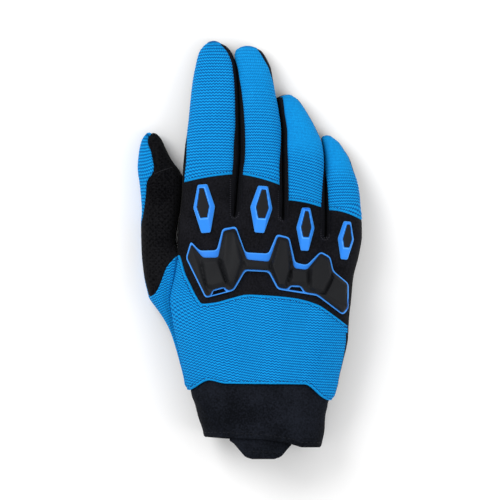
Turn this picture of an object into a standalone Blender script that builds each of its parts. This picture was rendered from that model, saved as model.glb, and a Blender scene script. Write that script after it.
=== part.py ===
"""Right-hand motocross glove lying palm down, as Blender solids in metres with +Z up.

The fingers point along +Y, the thumb lies on the -X side and the palm rests on the floor.
One cage of quads wraps the whole hand. Its columns run along the hand and its rows run
around it, so that every sewn seam lies on a row or a column. Each cloth panel is a block
of that cage, given a wall inwards. The moulded guard and pads sit on the knuckle panel.
"""
import math
from collections import namedtuple

import bmesh
import bpy
import numpy as np
from mathutils import Vector
from mathutils.bvhtree import BVHTree
from mathutils.geometry import delaunay_2d_cdt

# Sizes of the hand, cuff and thumb, in metres
HAND_LENGTH = 0.0910
HAND_THICKNESS = 0.0380
CUFF_LENGTH = 0.0314
THUMB_LENGTH = 0.0765
THUMB_WIDTH = 0.0215
THUMB_THICKNESS = 0.0205
FINGER_GAP = 0.0007

# Sizes of the fingers, in metres. The height is where the middle of a finger's root lies.
INDEX_LENGTH = 0.0969
INDEX_WIDTH = 0.0305
INDEX_THICKNESS = 0.0220
INDEX_HEIGHT = 0.0200
MIDDLE_LENGTH = 0.0950
MIDDLE_WIDTH = 0.0263
MIDDLE_THICKNESS = 0.0226
MIDDLE_HEIGHT = 0.0206
RING_LENGTH = 0.0742
RING_WIDTH = 0.0235
RING_THICKNESS = 0.0215
RING_HEIGHT = 0.0200
LITTLE_LENGTH = 0.0565
LITTLE_WIDTH = 0.0200
LITTLE_THICKNESS = 0.0190
LITTLE_HEIGHT = 0.0182

# Walls of the cloth panels, and the gap between two panels at a seam
STRETCH_CLOTH = 0.0013
PALM_SUEDE = 0.0012
SIDE_MESH = 0.0011
KNUCKLE_FOAM = 0.0020
CUFF_FOAM = 0.0020
SEWN_EDGE = 0.0011
SHARPEST_CORNER = 2.5
SEAM_GAP = 0.0004

# Moulded guard, pads and pull tab
GUARD_WIDTH = 0.0898
GUARD_DEPTH = 0.0491
GUARD_BASE_THICKNESS = 0.0016
GUARD_RELIEF = 0.0046
INDEX_PAD_WIDTH = 0.0119
INDEX_PAD_LENGTH = 0.0267
MIDDLE_PAD_WIDTH = 0.0122
MIDDLE_PAD_LENGTH = 0.0258
RING_PAD_WIDTH = 0.0100
RING_PAD_LENGTH = 0.0237
LITTLE_PAD_WIDTH = 0.0089
LITTLE_PAD_LENGTH = 0.0210
PAD_HEIGHT = 0.0027
PAD_EDGE_HEIGHT = 0.0008
PAD_POCKET = 0.0014
INSERT_THICKNESS = 0.0008
SEAT_GAP = 0.0006
TAB_WIDTH = 0.0368
TAB_THICKNESS = 0.0020
TAB_REACH = 0.0105
TAB_TUCK = 0.0070

# Columns of the cage and fullness of its sections (2 is an ellipse, more is squarer)
BACK_COLUMNS = 6
FLANK_COLUMNS = 2
THUMB_UPPER_COLUMNS = 4
TOP_FULLNESS = 2.4
UNDER_FULLNESS = 2.8
PALM_FROM_DEG = 215.0
PALM_TO_DEG = 325.0
FLANK_END_DEG = 8.0

Finger = namedtuple("Finger", "name length width thickness height hem rows")

# Every finger's girth: share of its thickness, and height of its middle line as a share
# of the height at its root.
GIRTH_COLUMNS = "along thick lift"
GIRTH = [
    (0.00, 1.00, 1.00),
    (0.26, 0.98, 0.92),
    (0.54, 0.92, 0.76),
    (0.66, 0.86, 0.64),
    (0.77, 0.79, 0.52),
    (0.86, 0.72, 0.43),
    (0.93, 0.58, 0.37),
    (0.975, 0.38, 0.34),
    (0.994, 0.20, 0.33),
]

# Margins from the lanes between the fingers, as shares of the finger's width, and the
# angles round the finger of the seams beside its back panel (0 is +X, 90 is up).
FINGER_COLUMNS = "along left right right_seam left_seam"
INDEX_ROWS = [
    (0.00, 0.000, 0.00, 43, 172),
    (0.13, 0.043, 0.00, 43, 168),
    (0.26, 0.064, 0.00, 43, 158),
    (0.40, 0.105, 0.00, 42, 166),
    (0.54, 0.168, 0.00, 38, 184),
    (0.66, 0.205, 0.00, 37, 184),
    (0.77, 0.245, 0.00, 37, 184),
    (0.86, 0.300, 0.00, 38, 182),
    (0.93, 0.355, 0.03, 45, 178),
    (0.975, 0.454, 0.12, 50, 172),
    (0.994, 0.545, 0.215, 50, 170),
]
MIDDLE_ROWS = [
    (0.00, 0.000, 0.00, 30, 140),
    (0.26, 0.000, 0.00, 6, 140),
    (0.40, 0.000, 0.00, 0, 138),
    (0.54, 0.000, 0.00, 0, 136),
    (0.66, 0.000, 0.00, 0, 140),
    (0.77, 0.000, 0.00, 4, 150),
    (0.86, 0.000, 0.015, 20, 153),
    (0.93, 0.000, 0.12, 26, 152),
    (0.975, 0.050, 0.215, 26, 150),
    (0.994, 0.210, 0.295, 20, 150),
]
RING_ROWS = [
    (0.00, 0.000, 0.00, 30, 134),
    (0.26, 0.000, 0.00, 20, 133),
    (0.40, 0.000, 0.00, 10, 134),
    (0.54, 0.000, 0.00, 6, 135),
    (0.66, 0.000, 0.00, 6, 133),
    (0.77, 0.000, 0.10, 6, 129),
    (0.86, 0.000, 0.24, 6, 124),
    (0.93, 0.000, 0.37, 8, 115),
    (0.975, 0.010, 0.485, 10, 109),
    (0.994, 0.100, 0.620, 10, 108),
]
LITTLE_ROWS = [
    (0.00, 0.000, 0.000, 8, 138),
    (0.13, 0.000, 0.005, 4, 138),
    (0.26, 0.000, 0.045, 0, 138),
    (0.40, 0.000, 0.070, 0, 139),
    (0.54, 0.000, 0.130, 2, 148),
    (0.66, 0.000, 0.240, 8, 166),
    (0.77, 0.000, 0.345, 9, 172),
    (0.86, 0.000, 0.500, 6, 172),
    (0.93, 0.000, 0.635, 5, 170),
    (0.975, 0.010, 0.790, 5, 168),
    (0.994, 0.060, 0.860, 5, 168),
]

# Fingers from the thumb side. The hem is where the knuckle panel's tongue ends, as a share
# of the finger's length at its left, middle and right.
FINGERS = [
    Finger("index", INDEX_LENGTH, INDEX_WIDTH, INDEX_THICKNESS, INDEX_HEIGHT, (0.195, 0.230, 0.246),
           INDEX_ROWS),
    Finger("middle", MIDDLE_LENGTH, MIDDLE_WIDTH, MIDDLE_THICKNESS, MIDDLE_HEIGHT, (0.251, 0.232, 0.194),
           MIDDLE_ROWS),
    Finger("ring", RING_LENGTH, RING_WIDTH, RING_THICKNESS, RING_HEIGHT, (0.157, 0.200, 0.211),
           RING_ROWS),
    Finger("little", LITTLE_LENGTH, LITTLE_WIDTH, LITTLE_THICKNESS, LITTLE_HEIGHT, (0.277, 0.253, 0.171),
           LITTLE_ROWS),
]
FINGER_STATIONS = (0.33, 0.43, 0.54, 0.66, 0.77, 0.86, 0.93, 0.975, 0.994)
PALM_WIDTH = sum(finger.width for finger in FINGERS)

# Where each crotch lies ahead of the palm's end, as a share of the hand's length, and how
# the lanes between the fingers drift sideways, as shares of the palm's width.
CROTCH_AHEAD = (0.008, 0.008, -0.007, -0.123, -0.112)
LANE_COLUMNS = "ahead index_middle middle_ring ring_little"
LANE_ROWS = [
    (0.000, 0.0000, 0.000, 0.000),
    (0.125, 0.0095, 0.002, -0.003),
    (0.250, 0.0190, -0.002, -0.005),
    (0.375, 0.0285, -0.004, -0.011),
    (0.500, 0.0275, -0.008, -0.030),
    (0.625, 0.0245, -0.025, -0.041),
    (0.750, 0.0190, -0.046, -0.050),
    (0.875, 0.0080, -0.063, -0.055),
    (1.000, -0.0160, -0.077, -0.058),
]

# Sections of the cuff (along below 0, as a share of its length) and of the hand. Left and
# right are shares of the palm's width, low and high of the hand's thickness.
BODY_COLUMNS = "along left right low high"
BODY_ROWS = [
    (-1.10, 0.356, 0.276, 0.02, 1.00),
    (-0.81, 0.367, 0.292, 0.01, 0.99),
    (-0.56, 0.392, 0.296, 0.00, 0.98),
    (-0.35, 0.414, 0.313, 0.00, 0.965),
    (-0.18, 0.439, 0.346, 0.00, 0.955),
    (0.024, 0.4715, 0.373, 0.00, 0.955),
    (0.133, 0.496, 0.389, 0.00, 0.965),
    (0.278, 0.526, 0.4195, 0.00, 0.985),
    (0.40, 0.5455, 0.430, 0.00, 1.00),
    (0.508, 0.5565, 0.441, 0.00, 0.99),
    (0.64, 0.532, 0.452, 0.013, 0.965),
    (0.78, 0.5126, 0.4825, 0.08, 0.92),
    (0.90, 0.509, 0.499, 0.16, 0.87),
    (1.00, 0.500, 0.500, 0.22, 0.815),
]

# Seams across the hand: across is a share of the palm's width, ahead of the hand's length
# from the wrist seam, behind of the cuff's length.
WEB_AHEAD = 0.779
SIDE_EDGE_AHEAD = 0.355
THUMB_ROOT_AHEAD = 0.556
KNUCKLE_EDGE_COLUMNS = "across ahead"
KNUCKLE_EDGE = [
    (-0.502, WEB_AHEAD),
    (-0.474, 0.677),
    (-0.441, 0.604),
    (-0.408, 0.532),
    (-0.376, 0.486),
    (-0.304, 0.493),
    (-0.217, 0.519),
    (-0.125, 0.541),
    (-0.008, 0.535),
    (0.129, 0.520),
    (0.257, 0.480),
    (0.348, 0.414),
    (0.419, SIDE_EDGE_AHEAD),
]
WRIST_COLUMNS = "across ahead"
WRIST_SEAM = [
    (-0.441, -0.036),
    (-0.337, 0.022),
    (-0.249, 0.003),
    (-0.016, 0.000),
    (0.185, -0.002),
    (0.321, -0.098),
    (0.337, -0.097),
]
MOUTH_COLUMNS = "across behind"
MOUTH_EDGE = [
    (-0.356, 0.930),
    (-0.227, 0.953),
    (-0.074, 0.965),
    (0.138, 1.033),
    (0.274, 1.110),
]

# The thumb: edges as shares of its width from the palm's left edge, middle height and
# thickness as shares of its thickness, seams as angles (0 faces the hand, 90 is up).
THUMB_COLUMNS = "along left right lift thick inner_seam upper_seam lower_seam"
THUMB_ROWS = [
    (0.00, -0.777, -0.060, 0.560, 1.12, 55, 180, 245),
    (0.15, -0.900, -0.090, 0.530, 1.06, 45, 180, 245),
    (0.30, -0.949, -0.040, 0.505, 1.01, 33, 180, 245),
    (0.42, -0.956, 0.000, 0.500, 1.00, 25, 178, 245),
    (0.52, -0.946, 0.020, 0.500, 1.00, 25, 158, 245),
    (0.61, -0.982, 0.010, 0.495, 0.99, 25, 138, 245),
    (0.70, -1.023, -0.064, 0.475, 0.95, 25, 117, 245),
    (0.79, -1.070, -0.240, 0.440, 0.88, 25, 95, 245),
    (0.87, -1.033, -0.367, 0.400, 0.76, 25, 97, 243),
    (0.94, -0.960, -0.470, 0.370, 0.57, 25, 112, 240),
    (0.98, -0.892, -0.564, 0.355, 0.36, 25, 117, 240),
    (0.994, -0.828, -0.636, 0.350, 0.20, 25, 120, 240),
]
THUMB_STATIONS = (0.10, 0.20, 0.30, 0.42, 0.52, 0.61, 0.70, 0.79, 0.87, 0.94, 0.98, 0.994)
THUMB_INNER_DEG = 25.0

# Rows of quads between the seams of the hand, and how the roots of the fingers and of the
# thumb fade into the hand between them.
KNUCKLE_STEPS = 4
BACK_STEPS = 6
CUFF_STEPS = 4
FADE_COLUMNS = "step fingers thumb"
FADE_ROWS = [
    (0.00, 1.00, 1.00),
    (0.167, 0.74, 0.66),
    (0.333, 0.46, 0.32),
    (0.50, 0.26, 0.08),
    (0.667, 0.12, 0.01),
    (0.833, 0.03, 0.00),
    (1.00, 0.00, 0.00),
]

# The guard's drawing grid is this many steps wide and deep. Its corners are counted
# from the lower left of that grid.
GUARD_STEPS_ACROSS = 163.2
GUARD_STEPS_AHEAD = 89.2
GUARD_ACROSS = -0.020
GUARD_AHEAD = 0.684
GUARD_BASE_OUTLINE = [
    (5.3, 74.3), (14.1, 64.8), (31.4, 65.2), (37.0, 86.8), (50.6, 89.2), (60.0, 63.1),
    (83.0, 61.9), (91.3, 81.4), (104.0, 78.1), (109.8, 52.9), (121.3, 50.4), (135.3, 64.1),
    (144.9, 58.7), (148.0, 44.6), (163.2, 31.9), (163.0, 6.4), (157.4, 0.3), (131.5, 19.8),
    (92.0, 26.1), (83.0, 43.4), (60.0, 44.6), (48.6, 24.9), (20.0, 17.4), (0.3, 57.4),
]
GUARD_BASE_SLOTS = [
    [(26.4, 20.3), (28.0, 24.4), (38.0, 27.2), (40.7, 24.0)],
    [(103.4, 25.9), (105.6, 28.7), (114.7, 28.3), (117.7, 23.7)],
]
GUARD_TOP_OUTLINE = [
    (6.0, 70.9), (17.0, 57.4), (33.0, 57.6), (38.6, 84.4), (49.4, 86.8), (61.0, 55.6),
    (83.8, 53.4), (92.8, 78.8), (102.4, 76.6), (108.2, 47.1), (121.6, 45.2), (135.6, 61.8),
    (143.4, 57.4), (146.6, 43.6), (161.6, 31.2), (161.2, 7.4), (157.4, 2.6), (132.2, 22.0),
    (119.8, 24.0), (115.6, 30.4), (104.6, 30.8), (101.6, 27.0), (93.4, 28.2), (84.2, 45.6),
    (58.8, 46.7), (47.2, 26.8), (42.6, 25.5), (38.8, 29.4), (26.8, 26.2), (24.5, 20.6),
    (21.0, 19.6), (2.2, 57.8),
]
# Raised faces of the guard's top: share of its relief, then the face's corners.
GUARD_FACES = [
    (0.60, [(6.0, 67.4), (4.2, 57.6), (19.0, 24.8), (12.4, 49.4)]),
    (0.68, [(19.0, 52.4), (31.4, 53.4), (38.6, 33.4), (27.4, 30.2), (22.2, 31.4)]),
    (1.00, [(40.8, 82.0), (48.4, 83.4), (54.4, 53.4), (48.4, 34.4), (44.6, 33.8), (38.8, 54.4)]),
    (0.52, [(61.2, 52.8), (83.0, 51.8), (82.2, 48.0), (62.0, 48.8)]),
    (1.00, [(94.8, 75.0), (101.4, 73.6), (103.8, 47.4), (99.0, 31.6), (94.2, 31.2), (87.6, 49.4)]),
    (0.68, [(107.0, 44.6), (120.4, 43.4), (120.4, 34.6), (107.0, 33.6)]),
    (0.90, [(127.0, 47.6), (136.0, 58.4), (142.0, 54.8), (144.6, 39.6), (137.4, 26.4), (127.6, 28.4)]),
    (0.66, [(149.2, 38.6), (159.6, 29.4), (159.4, 9.6), (156.2, 5.8), (141.4, 20.8)]),
]
# Grooves between the raised faces.
GUARD_GROOVE = 0.30
GUARD_GROOVES = [
    [(15.0, 55.0), (16.4, 47.4), (21.4, 27.2)],
    [(35.0, 54.6), (36.2, 46.4), (41.6, 31.2)],
    [(57.6, 58.0), (58.0, 51.0), (53.2, 37.4)],
    [(85.6, 55.4), (85.2, 49.0), (90.0, 34.4)],
    [(105.4, 50.4), (105.2, 44.8), (102.2, 32.2)],
    [(123.6, 45.0), (123.8, 36.4), (122.8, 26.4)],
    [(146.2, 42.6), (147.2, 36.8), (139.2, 21.6)],
]
GUARD_EDGE_RELIEF = 0.30

# A pad is a long six-sided drop. Corners as shares of its width and length.
PAD_CORNERS = [(-0.22, 0.50), (0.22, 0.50), (0.50, 0.03), (0.21, -0.50), (-0.21, -0.50), (-0.50, 0.03)]
INSERT_CORNERS = [(-0.11, 0.43), (0.11, 0.43), (0.30, 0.04), (0.17, -0.19), (-0.17, -0.19), (-0.30, 0.04)]
PAD_COLUMNS = "finger width length across ahead lean shift"
PADS = [
    ("index", INDEX_PAD_WIDTH, INDEX_PAD_LENGTH, -0.055, 0.049, 4.1, -0.05),
    ("middle", MIDDLE_PAD_WIDTH, MIDDLE_PAD_LENGTH, 0.048, 0.053, -4.5, 0.05),
    ("ring", RING_PAD_WIDTH, RING_PAD_LENGTH, 0.028, 0.001, -2.0, 0.05),
    ("little", LITTLE_PAD_WIDTH, LITTLE_PAD_LENGTH, 0.055, -0.023, -4.9, 0.10),
]
RELIEF_GRID = 0.0055
STEEPEST = 0.6

Finish = namedtuple("Finish", "colour roughness metallic")
BLUE_CLOTH = Finish((0.008, 0.255, 0.680, 1.0), 0.80, 0.0)
BLUE_RUBBER = Finish((0.045, 0.320, 0.950, 1.0), 0.45, 0.0)
BLACK_FOAM = Finish((0.012, 0.012, 0.015, 1.0), 0.85, 0.0)
BLACK_SUEDE = Finish((0.010, 0.010, 0.011, 1.0), 0.90, 0.0)
BLACK_MESH = Finish((0.006, 0.006, 0.008, 1.0), 0.80, 0.0)
CUFF_BLACK = Finish((0.010, 0.011, 0.016, 1.0), 0.75, 0.0)
GREY_RUBBER = Finish((0.022, 0.023, 0.027, 1.0), 0.55, 0.0)


def clear_scene():
    """Remove every object that the new file holds."""
    for item in list(bpy.data.objects):
        bpy.data.objects.remove(item, do_unlink=True)


class Table:
    """Rows of numbers with named columns, read smoothly between the rows."""

    def __init__(self, columns, rows):
        self.names = columns.split()
        self.values = np.array(rows, dtype=float)

    def read(self, name, at):
        """One column's value at a place along the first column, without overshoot."""
        x = self.values[:, 0]
        y = self.values[:, self.names.index(name)]
        slopes = np.diff(y) / np.diff(x)
        tangents = np.zeros(len(y))
        tangents[0], tangents[-1] = slopes[0], slopes[-1]
        for row in range(1, len(y) - 1):
            before, after = slopes[row - 1], slopes[row]
            if before * after > 0.0:
                tangents[row] = 2.0 * before * after / (before + after)
        at = min(max(at, x[0]), x[-1])
        row = int(min(np.searchsorted(x, at, side="right"), len(x) - 1)) - 1
        step = x[row + 1] - x[row]
        t = (at - x[row]) / step
        rise = y[row + 1] - y[row]
        bend = (3.0 - 2.0 * t) * t * t
        start = t * (1.0 - t) ** 2 * tangents[row] * step
        end = t * t * (t - 1.0) * tangents[row + 1] * step
        return float(y[row] + rise * bend + start + end)


GIRTH_TABLE = Table(GIRTH_COLUMNS, GIRTH)
LANE_TABLE = Table(LANE_COLUMNS, LANE_ROWS)
BODY_TABLE = Table(BODY_COLUMNS, BODY_ROWS)
KNUCKLE_TABLE = Table(KNUCKLE_EDGE_COLUMNS, KNUCKLE_EDGE)
WRIST_TABLE = Table(WRIST_COLUMNS, WRIST_SEAM)
MOUTH_TABLE = Table(MOUTH_COLUMNS, MOUTH_EDGE)
THUMB_TABLE = Table(THUMB_COLUMNS, THUMB_ROWS)
FADE_TABLE = Table(FADE_COLUMNS, FADE_ROWS)
FINGER_TABLES = [Table(FINGER_COLUMNS, finger.rows) for finger in FINGERS]


def mix(low, high, share):
    return low + (high - low) * share


def signed_power(value, power):
    return math.copysign(abs(value) ** power, value)


def fullness(degrees):
    return TOP_FULLNESS if math.sin(math.radians(degrees)) >= 0.0 else UNDER_FULLNESS


def unit_section(degrees):
    """A point of a rounded section with half sides of 1."""
    angle = math.radians(degrees)
    power = 2.0 / fullness(degrees)
    return signed_power(math.cos(angle), power), signed_power(math.sin(angle), power)


def body_edges(y):
    """Left, right, low and high of the hand or cuff, y metres ahead of the wrist seam."""
    along = y / (HAND_LENGTH if y > 0.0 else CUFF_LENGTH)
    left = -BODY_TABLE.read("left", along) * PALM_WIDTH
    right = BODY_TABLE.read("right", along) * PALM_WIDTH
    low = BODY_TABLE.read("low", along) * HAND_THICKNESS
    high = BODY_TABLE.read("high", along) * HAND_THICKNESS
    return left, right, low, high


def body_point(degrees, y):
    left, right, low, high = body_edges(y)
    across, up = unit_section(degrees)
    x = mix(left, right, 0.5 + 0.5 * across)
    return np.array((x, y, mix(low, high, 0.5 + 0.5 * up)))


def body_angle(point, degrees):
    """The angle on the body's section that lies straight above or below a point."""
    left, right, _, _ = body_edges(point[1])
    across = (2.0 * point[0] - left - right) / (right - left)
    across = min(max(across, -0.995), 0.995)
    angle = math.degrees(math.acos(signed_power(across, fullness(degrees) / 2.0)))
    return angle if math.sin(math.radians(degrees)) >= 0.0 else 360.0 - angle


def crotch_x(lane):
    """Where a lane between two fingers starts, counted from the thumb side."""
    return sum(finger.width for finger in FINGERS[:lane]) - 0.5 * PALM_WIDTH


def lane_x(lane, y):
    if lane in (0, len(FINGERS)):
        return crotch_x(lane)
    ahead = (y - HAND_LENGTH) / FINGERS[1].length
    return crotch_x(lane) + PALM_WIDTH * LANE_TABLE.read(LANE_TABLE.names[lane], ahead)


def finger_y(number, along, across):
    """Distance ahead of the wrist of a place on a finger; across is 0 at its left."""
    ends = [HAND_LENGTH * (1.0 + ahead) for ahead in CROTCH_AHEAD[number:number + 2]]
    root = mix(ends[0], ends[1], across)
    tip = 0.5 * (ends[0] + ends[1]) + FINGERS[number].length
    return mix(root, tip, along)


def finger_point(number, along, degrees):
    finger, table = FINGERS[number], FINGER_TABLES[number]
    across, up = unit_section(degrees)
    y = finger_y(number, along, 0.5 + 0.5 * across)
    left = lane_x(number, y) + 0.5 * FINGER_GAP + table.read("left", along) * finger.width
    right = lane_x(number + 1, y) - 0.5 * FINGER_GAP - table.read("right", along) * finger.width
    middle = GIRTH_TABLE.read("lift", along) * finger.height
    half = 0.5 * GIRTH_TABLE.read("thick", along) * finger.thickness
    return np.array((mix(left, right, 0.5 + 0.5 * across), y, middle + half * up))


def spread(start, end, steps):
    """Angles from start to just before end."""
    return [mix(start, end, step / steps) for step in range(steps)]


def finger_angles(number, along):
    """Angles of a finger's columns: back, left side, palm side, right side."""
    right = FINGER_TABLES[number].read("right_seam", along)
    left = FINGER_TABLES[number].read("left_seam", along)
    angles = spread(right, left, BACK_COLUMNS)
    angles += spread(left, PALM_FROM_DEG, FLANK_COLUMNS)
    angles += spread(PALM_FROM_DEG, PALM_TO_DEG, BACK_COLUMNS)
    angles += spread(PALM_TO_DEG, right + 360.0, FLANK_COLUMNS)
    return angles


def hem_along(number, across):
    """The hem's place along a finger, on a curve through its three given places."""
    left, middle, right = FINGERS[number].hem
    return left * (1 - across) * (1 - 2 * across) + 4 * middle * across * (1 - across) \
        + right * across * (2 * across - 1)


def finger_ring(number, along, hem_share=0.0):
    """Points round a finger, either at one place along it or at a share of the hem."""
    where = hem_along(number, 0.5) * hem_share if hem_share else along
    points = []
    for degrees in finger_angles(number, where):
        across = 0.5 + 0.5 * unit_section(degrees)[0]
        place = hem_along(number, across) * hem_share if hem_share else along
        points.append(finger_point(number, place, degrees))
    return points


def thumb_point(along, degrees):
    across, up = unit_section(degrees)
    root = HAND_LENGTH * mix(THUMB_ROOT_AHEAD, WEB_AHEAD, 0.5 + 0.5 * across)
    tip = HAND_LENGTH * 0.5 * (THUMB_ROOT_AHEAD + WEB_AHEAD) + THUMB_LENGTH
    edge = crotch_x(0)
    left = edge + THUMB_TABLE.read("left", along) * THUMB_WIDTH
    right = edge + THUMB_TABLE.read("right", along) * THUMB_WIDTH
    middle = THUMB_TABLE.read("lift", along) * THUMB_THICKNESS
    half = 0.5 * THUMB_TABLE.read("thick", along) * THUMB_THICKNESS
    return np.array((mix(left, right, 0.5 + 0.5 * across), mix(root, tip, along), middle + half * up))


def thumb_ring(along):
    """Points round the thumb: upper side, back, lower side, then the side by the hand."""
    inner = THUMB_TABLE.read("inner_seam", along)
    upper = THUMB_TABLE.read("upper_seam", along)
    lower = THUMB_TABLE.read("lower_seam", along)
    angles = spread(inner, upper, THUMB_UPPER_COLUMNS)
    angles += spread(upper, lower, BACK_COLUMNS)
    angles += spread(lower, 360.0 - THUMB_INNER_DEG, THUMB_UPPER_COLUMNS)
    angles += spread(360.0 - THUMB_INNER_DEG, 360.0 + inner, FLANK_COLUMNS)
    return [thumb_point(along, degrees) for degrees in angles]


class Cage:
    """Points and quads of the whole hand, each quad tagged with its panel."""

    def __init__(self):
        self.points = []
        self.faces = []
        self.panels = []

    def add(self, points):
        start = len(self.points)
        self.points.extend(np.asarray(point, dtype=float) for point in points)
        return list(range(start, len(self.points)))

    def band(self, back, front, panels):
        """Quads between two closed rings, the front one nearer the finger tips."""
        for column, panel in enumerate(panels):
            after = (column + 1) % len(back)
            self.quad((back[column], front[column], front[after], back[after]), panel)

    def quad(self, corners, panel):
        self.faces.append(corners)
        self.panels.append(panel)

    def cap(self, ring, start, tip_y, panels):
        """Close a tip with two rows of quads; the ring's back starts at index start."""
        count = len(ring)
        back = [ring[(start + step) % count] for step in range(BACK_COLUMNS + 1)]
        far = (start + BACK_COLUMNS + FLANK_COLUMNS) % count
        under = [ring[(far + BACK_COLUMNS - step) % count] for step in range(BACK_COLUMNS + 1)]
        middle = [ring[(start - 1) % count]]
        for step in range(1, BACK_COLUMNS):
            point = 0.5 * (self.points[back[step]] + self.points[under[step]])
            bulge = math.sqrt(1.0 - 0.7 * (2.0 * step / BACK_COLUMNS - 1.0) ** 2)
            point[1] = mix(point[1], tip_y, bulge)
            middle += self.add([point])
        middle.append(ring[(start + BACK_COLUMNS + 1) % count])
        for rows, panel in (((back, middle), panels[0]), ((middle, under), panels[1])):
            for step in range(BACK_COLUMNS):
                first, second = rows
                self.quad((first[step], second[step], second[step + 1], first[step + 1]), panel)


def side_panels():
    """The panel on each side of each finger, left then right."""
    names = ["palm"]
    names += [f"fourchette_{a.name}_{b.name}" for a, b in zip(FINGERS, FINGERS[1:])]
    return names + ["palm"]


def finger_roots(cage):
    """Root rings of all fingers, where neighbours share the points of their crotch."""
    rings = [finger_ring(number, 0.0) for number in range(len(FINGERS))]
    right = [0, -1, -2]
    left = [BACK_COLUMNS, BACK_COLUMNS + 1, BACK_COLUMNS + 2]
    roots = []
    for number, ring in enumerate(rings):
        if number:
            for mine, other in zip(left, right):
                ring[mine] = 0.5 * (ring[mine] + rings[number - 1][other])
        indices = cage.add(ring)
        if number:
            for mine, other in zip(left, right):
                shared = indices[mine]
                roots[-1][other] = shared
        roots.append(indices)
    return roots


def build_fingers(cage, roots):
    sides = side_panels()
    for number, finger in enumerate(FINGERS):
        ring = roots[number]
        back_panels = ["knuckle_panel"] * 2 + [f"{finger.name}_finger_back"] * len(FINGER_STATIONS)
        rows = [finger_ring(number, 0.0, 0.5), finger_ring(number, 0.0, 1.0)]
        rows += [finger_ring(number, along) for along in FINGER_STATIONS]
        for back_panel, row in zip(back_panels, rows):
            front = cage.add(row)
            panels = [back_panel] * BACK_COLUMNS + [sides[number]] * FLANK_COLUMNS
            panels += ["palm"] * BACK_COLUMNS + [sides[number + 1]] * FLANK_COLUMNS
            cage.band(ring, front, panels)
            ring = front
        tip = finger_y(number, 1.0, 0.5)
        cage.cap(ring, 0, tip, (f"{finger.name}_finger_back", "palm"))


def seam_y(table, column, length, degrees, y):
    """Where the body's column at this angle crosses a seam that is drawn from above."""
    for _ in range(12):
        across = body_point(degrees, y)[0] / PALM_WIDTH
        y = length * table.read(column, across)
    return y


def seam_row(angles, table, column, length, top, lobe, palm):
    """Distances ahead of the wrist of a seam's points round the hand."""
    top_row = [seam_y(table, column, length, angle, 0.5 * length) for angle in angles[:top]]
    right, left = top_row[0], top_row[-1]
    palm_row = [mix(left, right, step / (palm - 1)) for step in range(palm)]
    return top_row + [left] * lobe + palm_row + [right] * (FLANK_COLUMNS - 1)


def build_hand(cage, roots):
    """The knuckles, the hand with the thumb's root, and the cuff."""
    top, palm = [], []
    for number in reversed(range(len(FINGERS))):
        top += roots[number][1 if top else 0:BACK_COLUMNS + 1]
    first = BACK_COLUMNS + FLANK_COLUMNS
    for number in range(len(FINGERS)):
        palm += roots[number][first + (1 if palm else 0):first + BACK_COLUMNS + 1]
    front = top + [roots[0][BACK_COLUMNS + 1]] + palm + [roots[-1][-1]]
    count = len(top)

    angles = [body_angle(cage.points[index], 90.0) for index in top]
    angles[0], angles[-1] = FLANK_END_DEG, 180.0 - FLANK_END_DEG
    under = [body_angle(cage.points[index], 270.0) for index in palm]
    ring_angles = angles + [0.5 * (angles[-1] + under[0])] + under + [0.5 * (under[-1] + 360.0 + angles[0])]

    start_y = np.array([cage.points[index][1] for index in front])
    knuckle_y = np.array(seam_row(ring_angles, KNUCKLE_TABLE, "ahead", HAND_LENGTH, count, 1, len(palm)))
    swell = [cage.points[index] - body_point(angle, cage.points[index][1])
             for index, angle in zip(front, ring_angles)]
    panels = ["knuckle_panel"] * (count - 1) + ["palm"] * (len(front) - count + 1)
    ring = front
    for step in range(1, KNUCKLE_STEPS + 1):
        share = step / KNUCKLE_STEPS
        fade = FADE_TABLE.read("fingers", share)
        row = [body_point(angle, mix(y0, y1, share)) + fade * push
               for angle, y0, y1, push in zip(ring_angles, start_y, knuckle_y, swell)]
        back = cage.add(row)
        cage.band(back, ring, panels)
        ring = back

    lobe_points = thumb_ring(0.0)[1:2 * THUMB_UPPER_COLUMNS + BACK_COLUMNS]
    lobe = cage.add(lobe_points)
    thumb_root = [ring[count - 1]] + lobe + [ring[count + 1], ring[count]]
    ring = ring[:count] + lobe + ring[count + 1:]
    lobe_angles = [mix(angles[-1], under[0], step / (len(lobe) + 1)) for step in range(1, len(lobe) + 1)]
    ring_angles = angles + lobe_angles + ring_angles[count + 1:]
    start_y = np.array([cage.points[index][1] for index in ring])
    wrist_y = np.array(seam_row(ring_angles, WRIST_TABLE, "ahead", HAND_LENGTH, count, len(lobe), len(palm)))
    swell = [cage.points[index] - body_point(angle, cage.points[index][1])
             for index, angle in zip(ring, ring_angles)]
    blue = THUMB_UPPER_COLUMNS + BACK_COLUMNS
    panels = ["hand_back"] * (count - 1) + ["thumb_back"] * blue
    panels += ["palm"] * (len(ring) - count + 1 - blue)
    for step in range(1, BACK_STEPS + 1):
        share = step / BACK_STEPS
        fade = FADE_TABLE.read("thumb", share)
        row = [body_point(angle, mix(y0, y1, share)) + fade * push
               for angle, y0, y1, push in zip(ring_angles, start_y, wrist_y, swell)]
        back = cage.add(row)
        cage.band(back, ring, panels)
        ring = back

    mouth_y = -np.array(seam_row(ring_angles, MOUTH_TABLE, "behind", CUFF_LENGTH, count, len(lobe), len(palm)))
    for step in range(1, CUFF_STEPS + 1):
        share = step / CUFF_STEPS
        row = [body_point(angle, mix(y0, y1, share)) for angle, y0, y1 in zip(ring_angles, wrist_y, mouth_y)]
        back = cage.add(row)
        cage.band(back, ring, ["cuff"] * len(ring))
        ring = back
    return thumb_root


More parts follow.
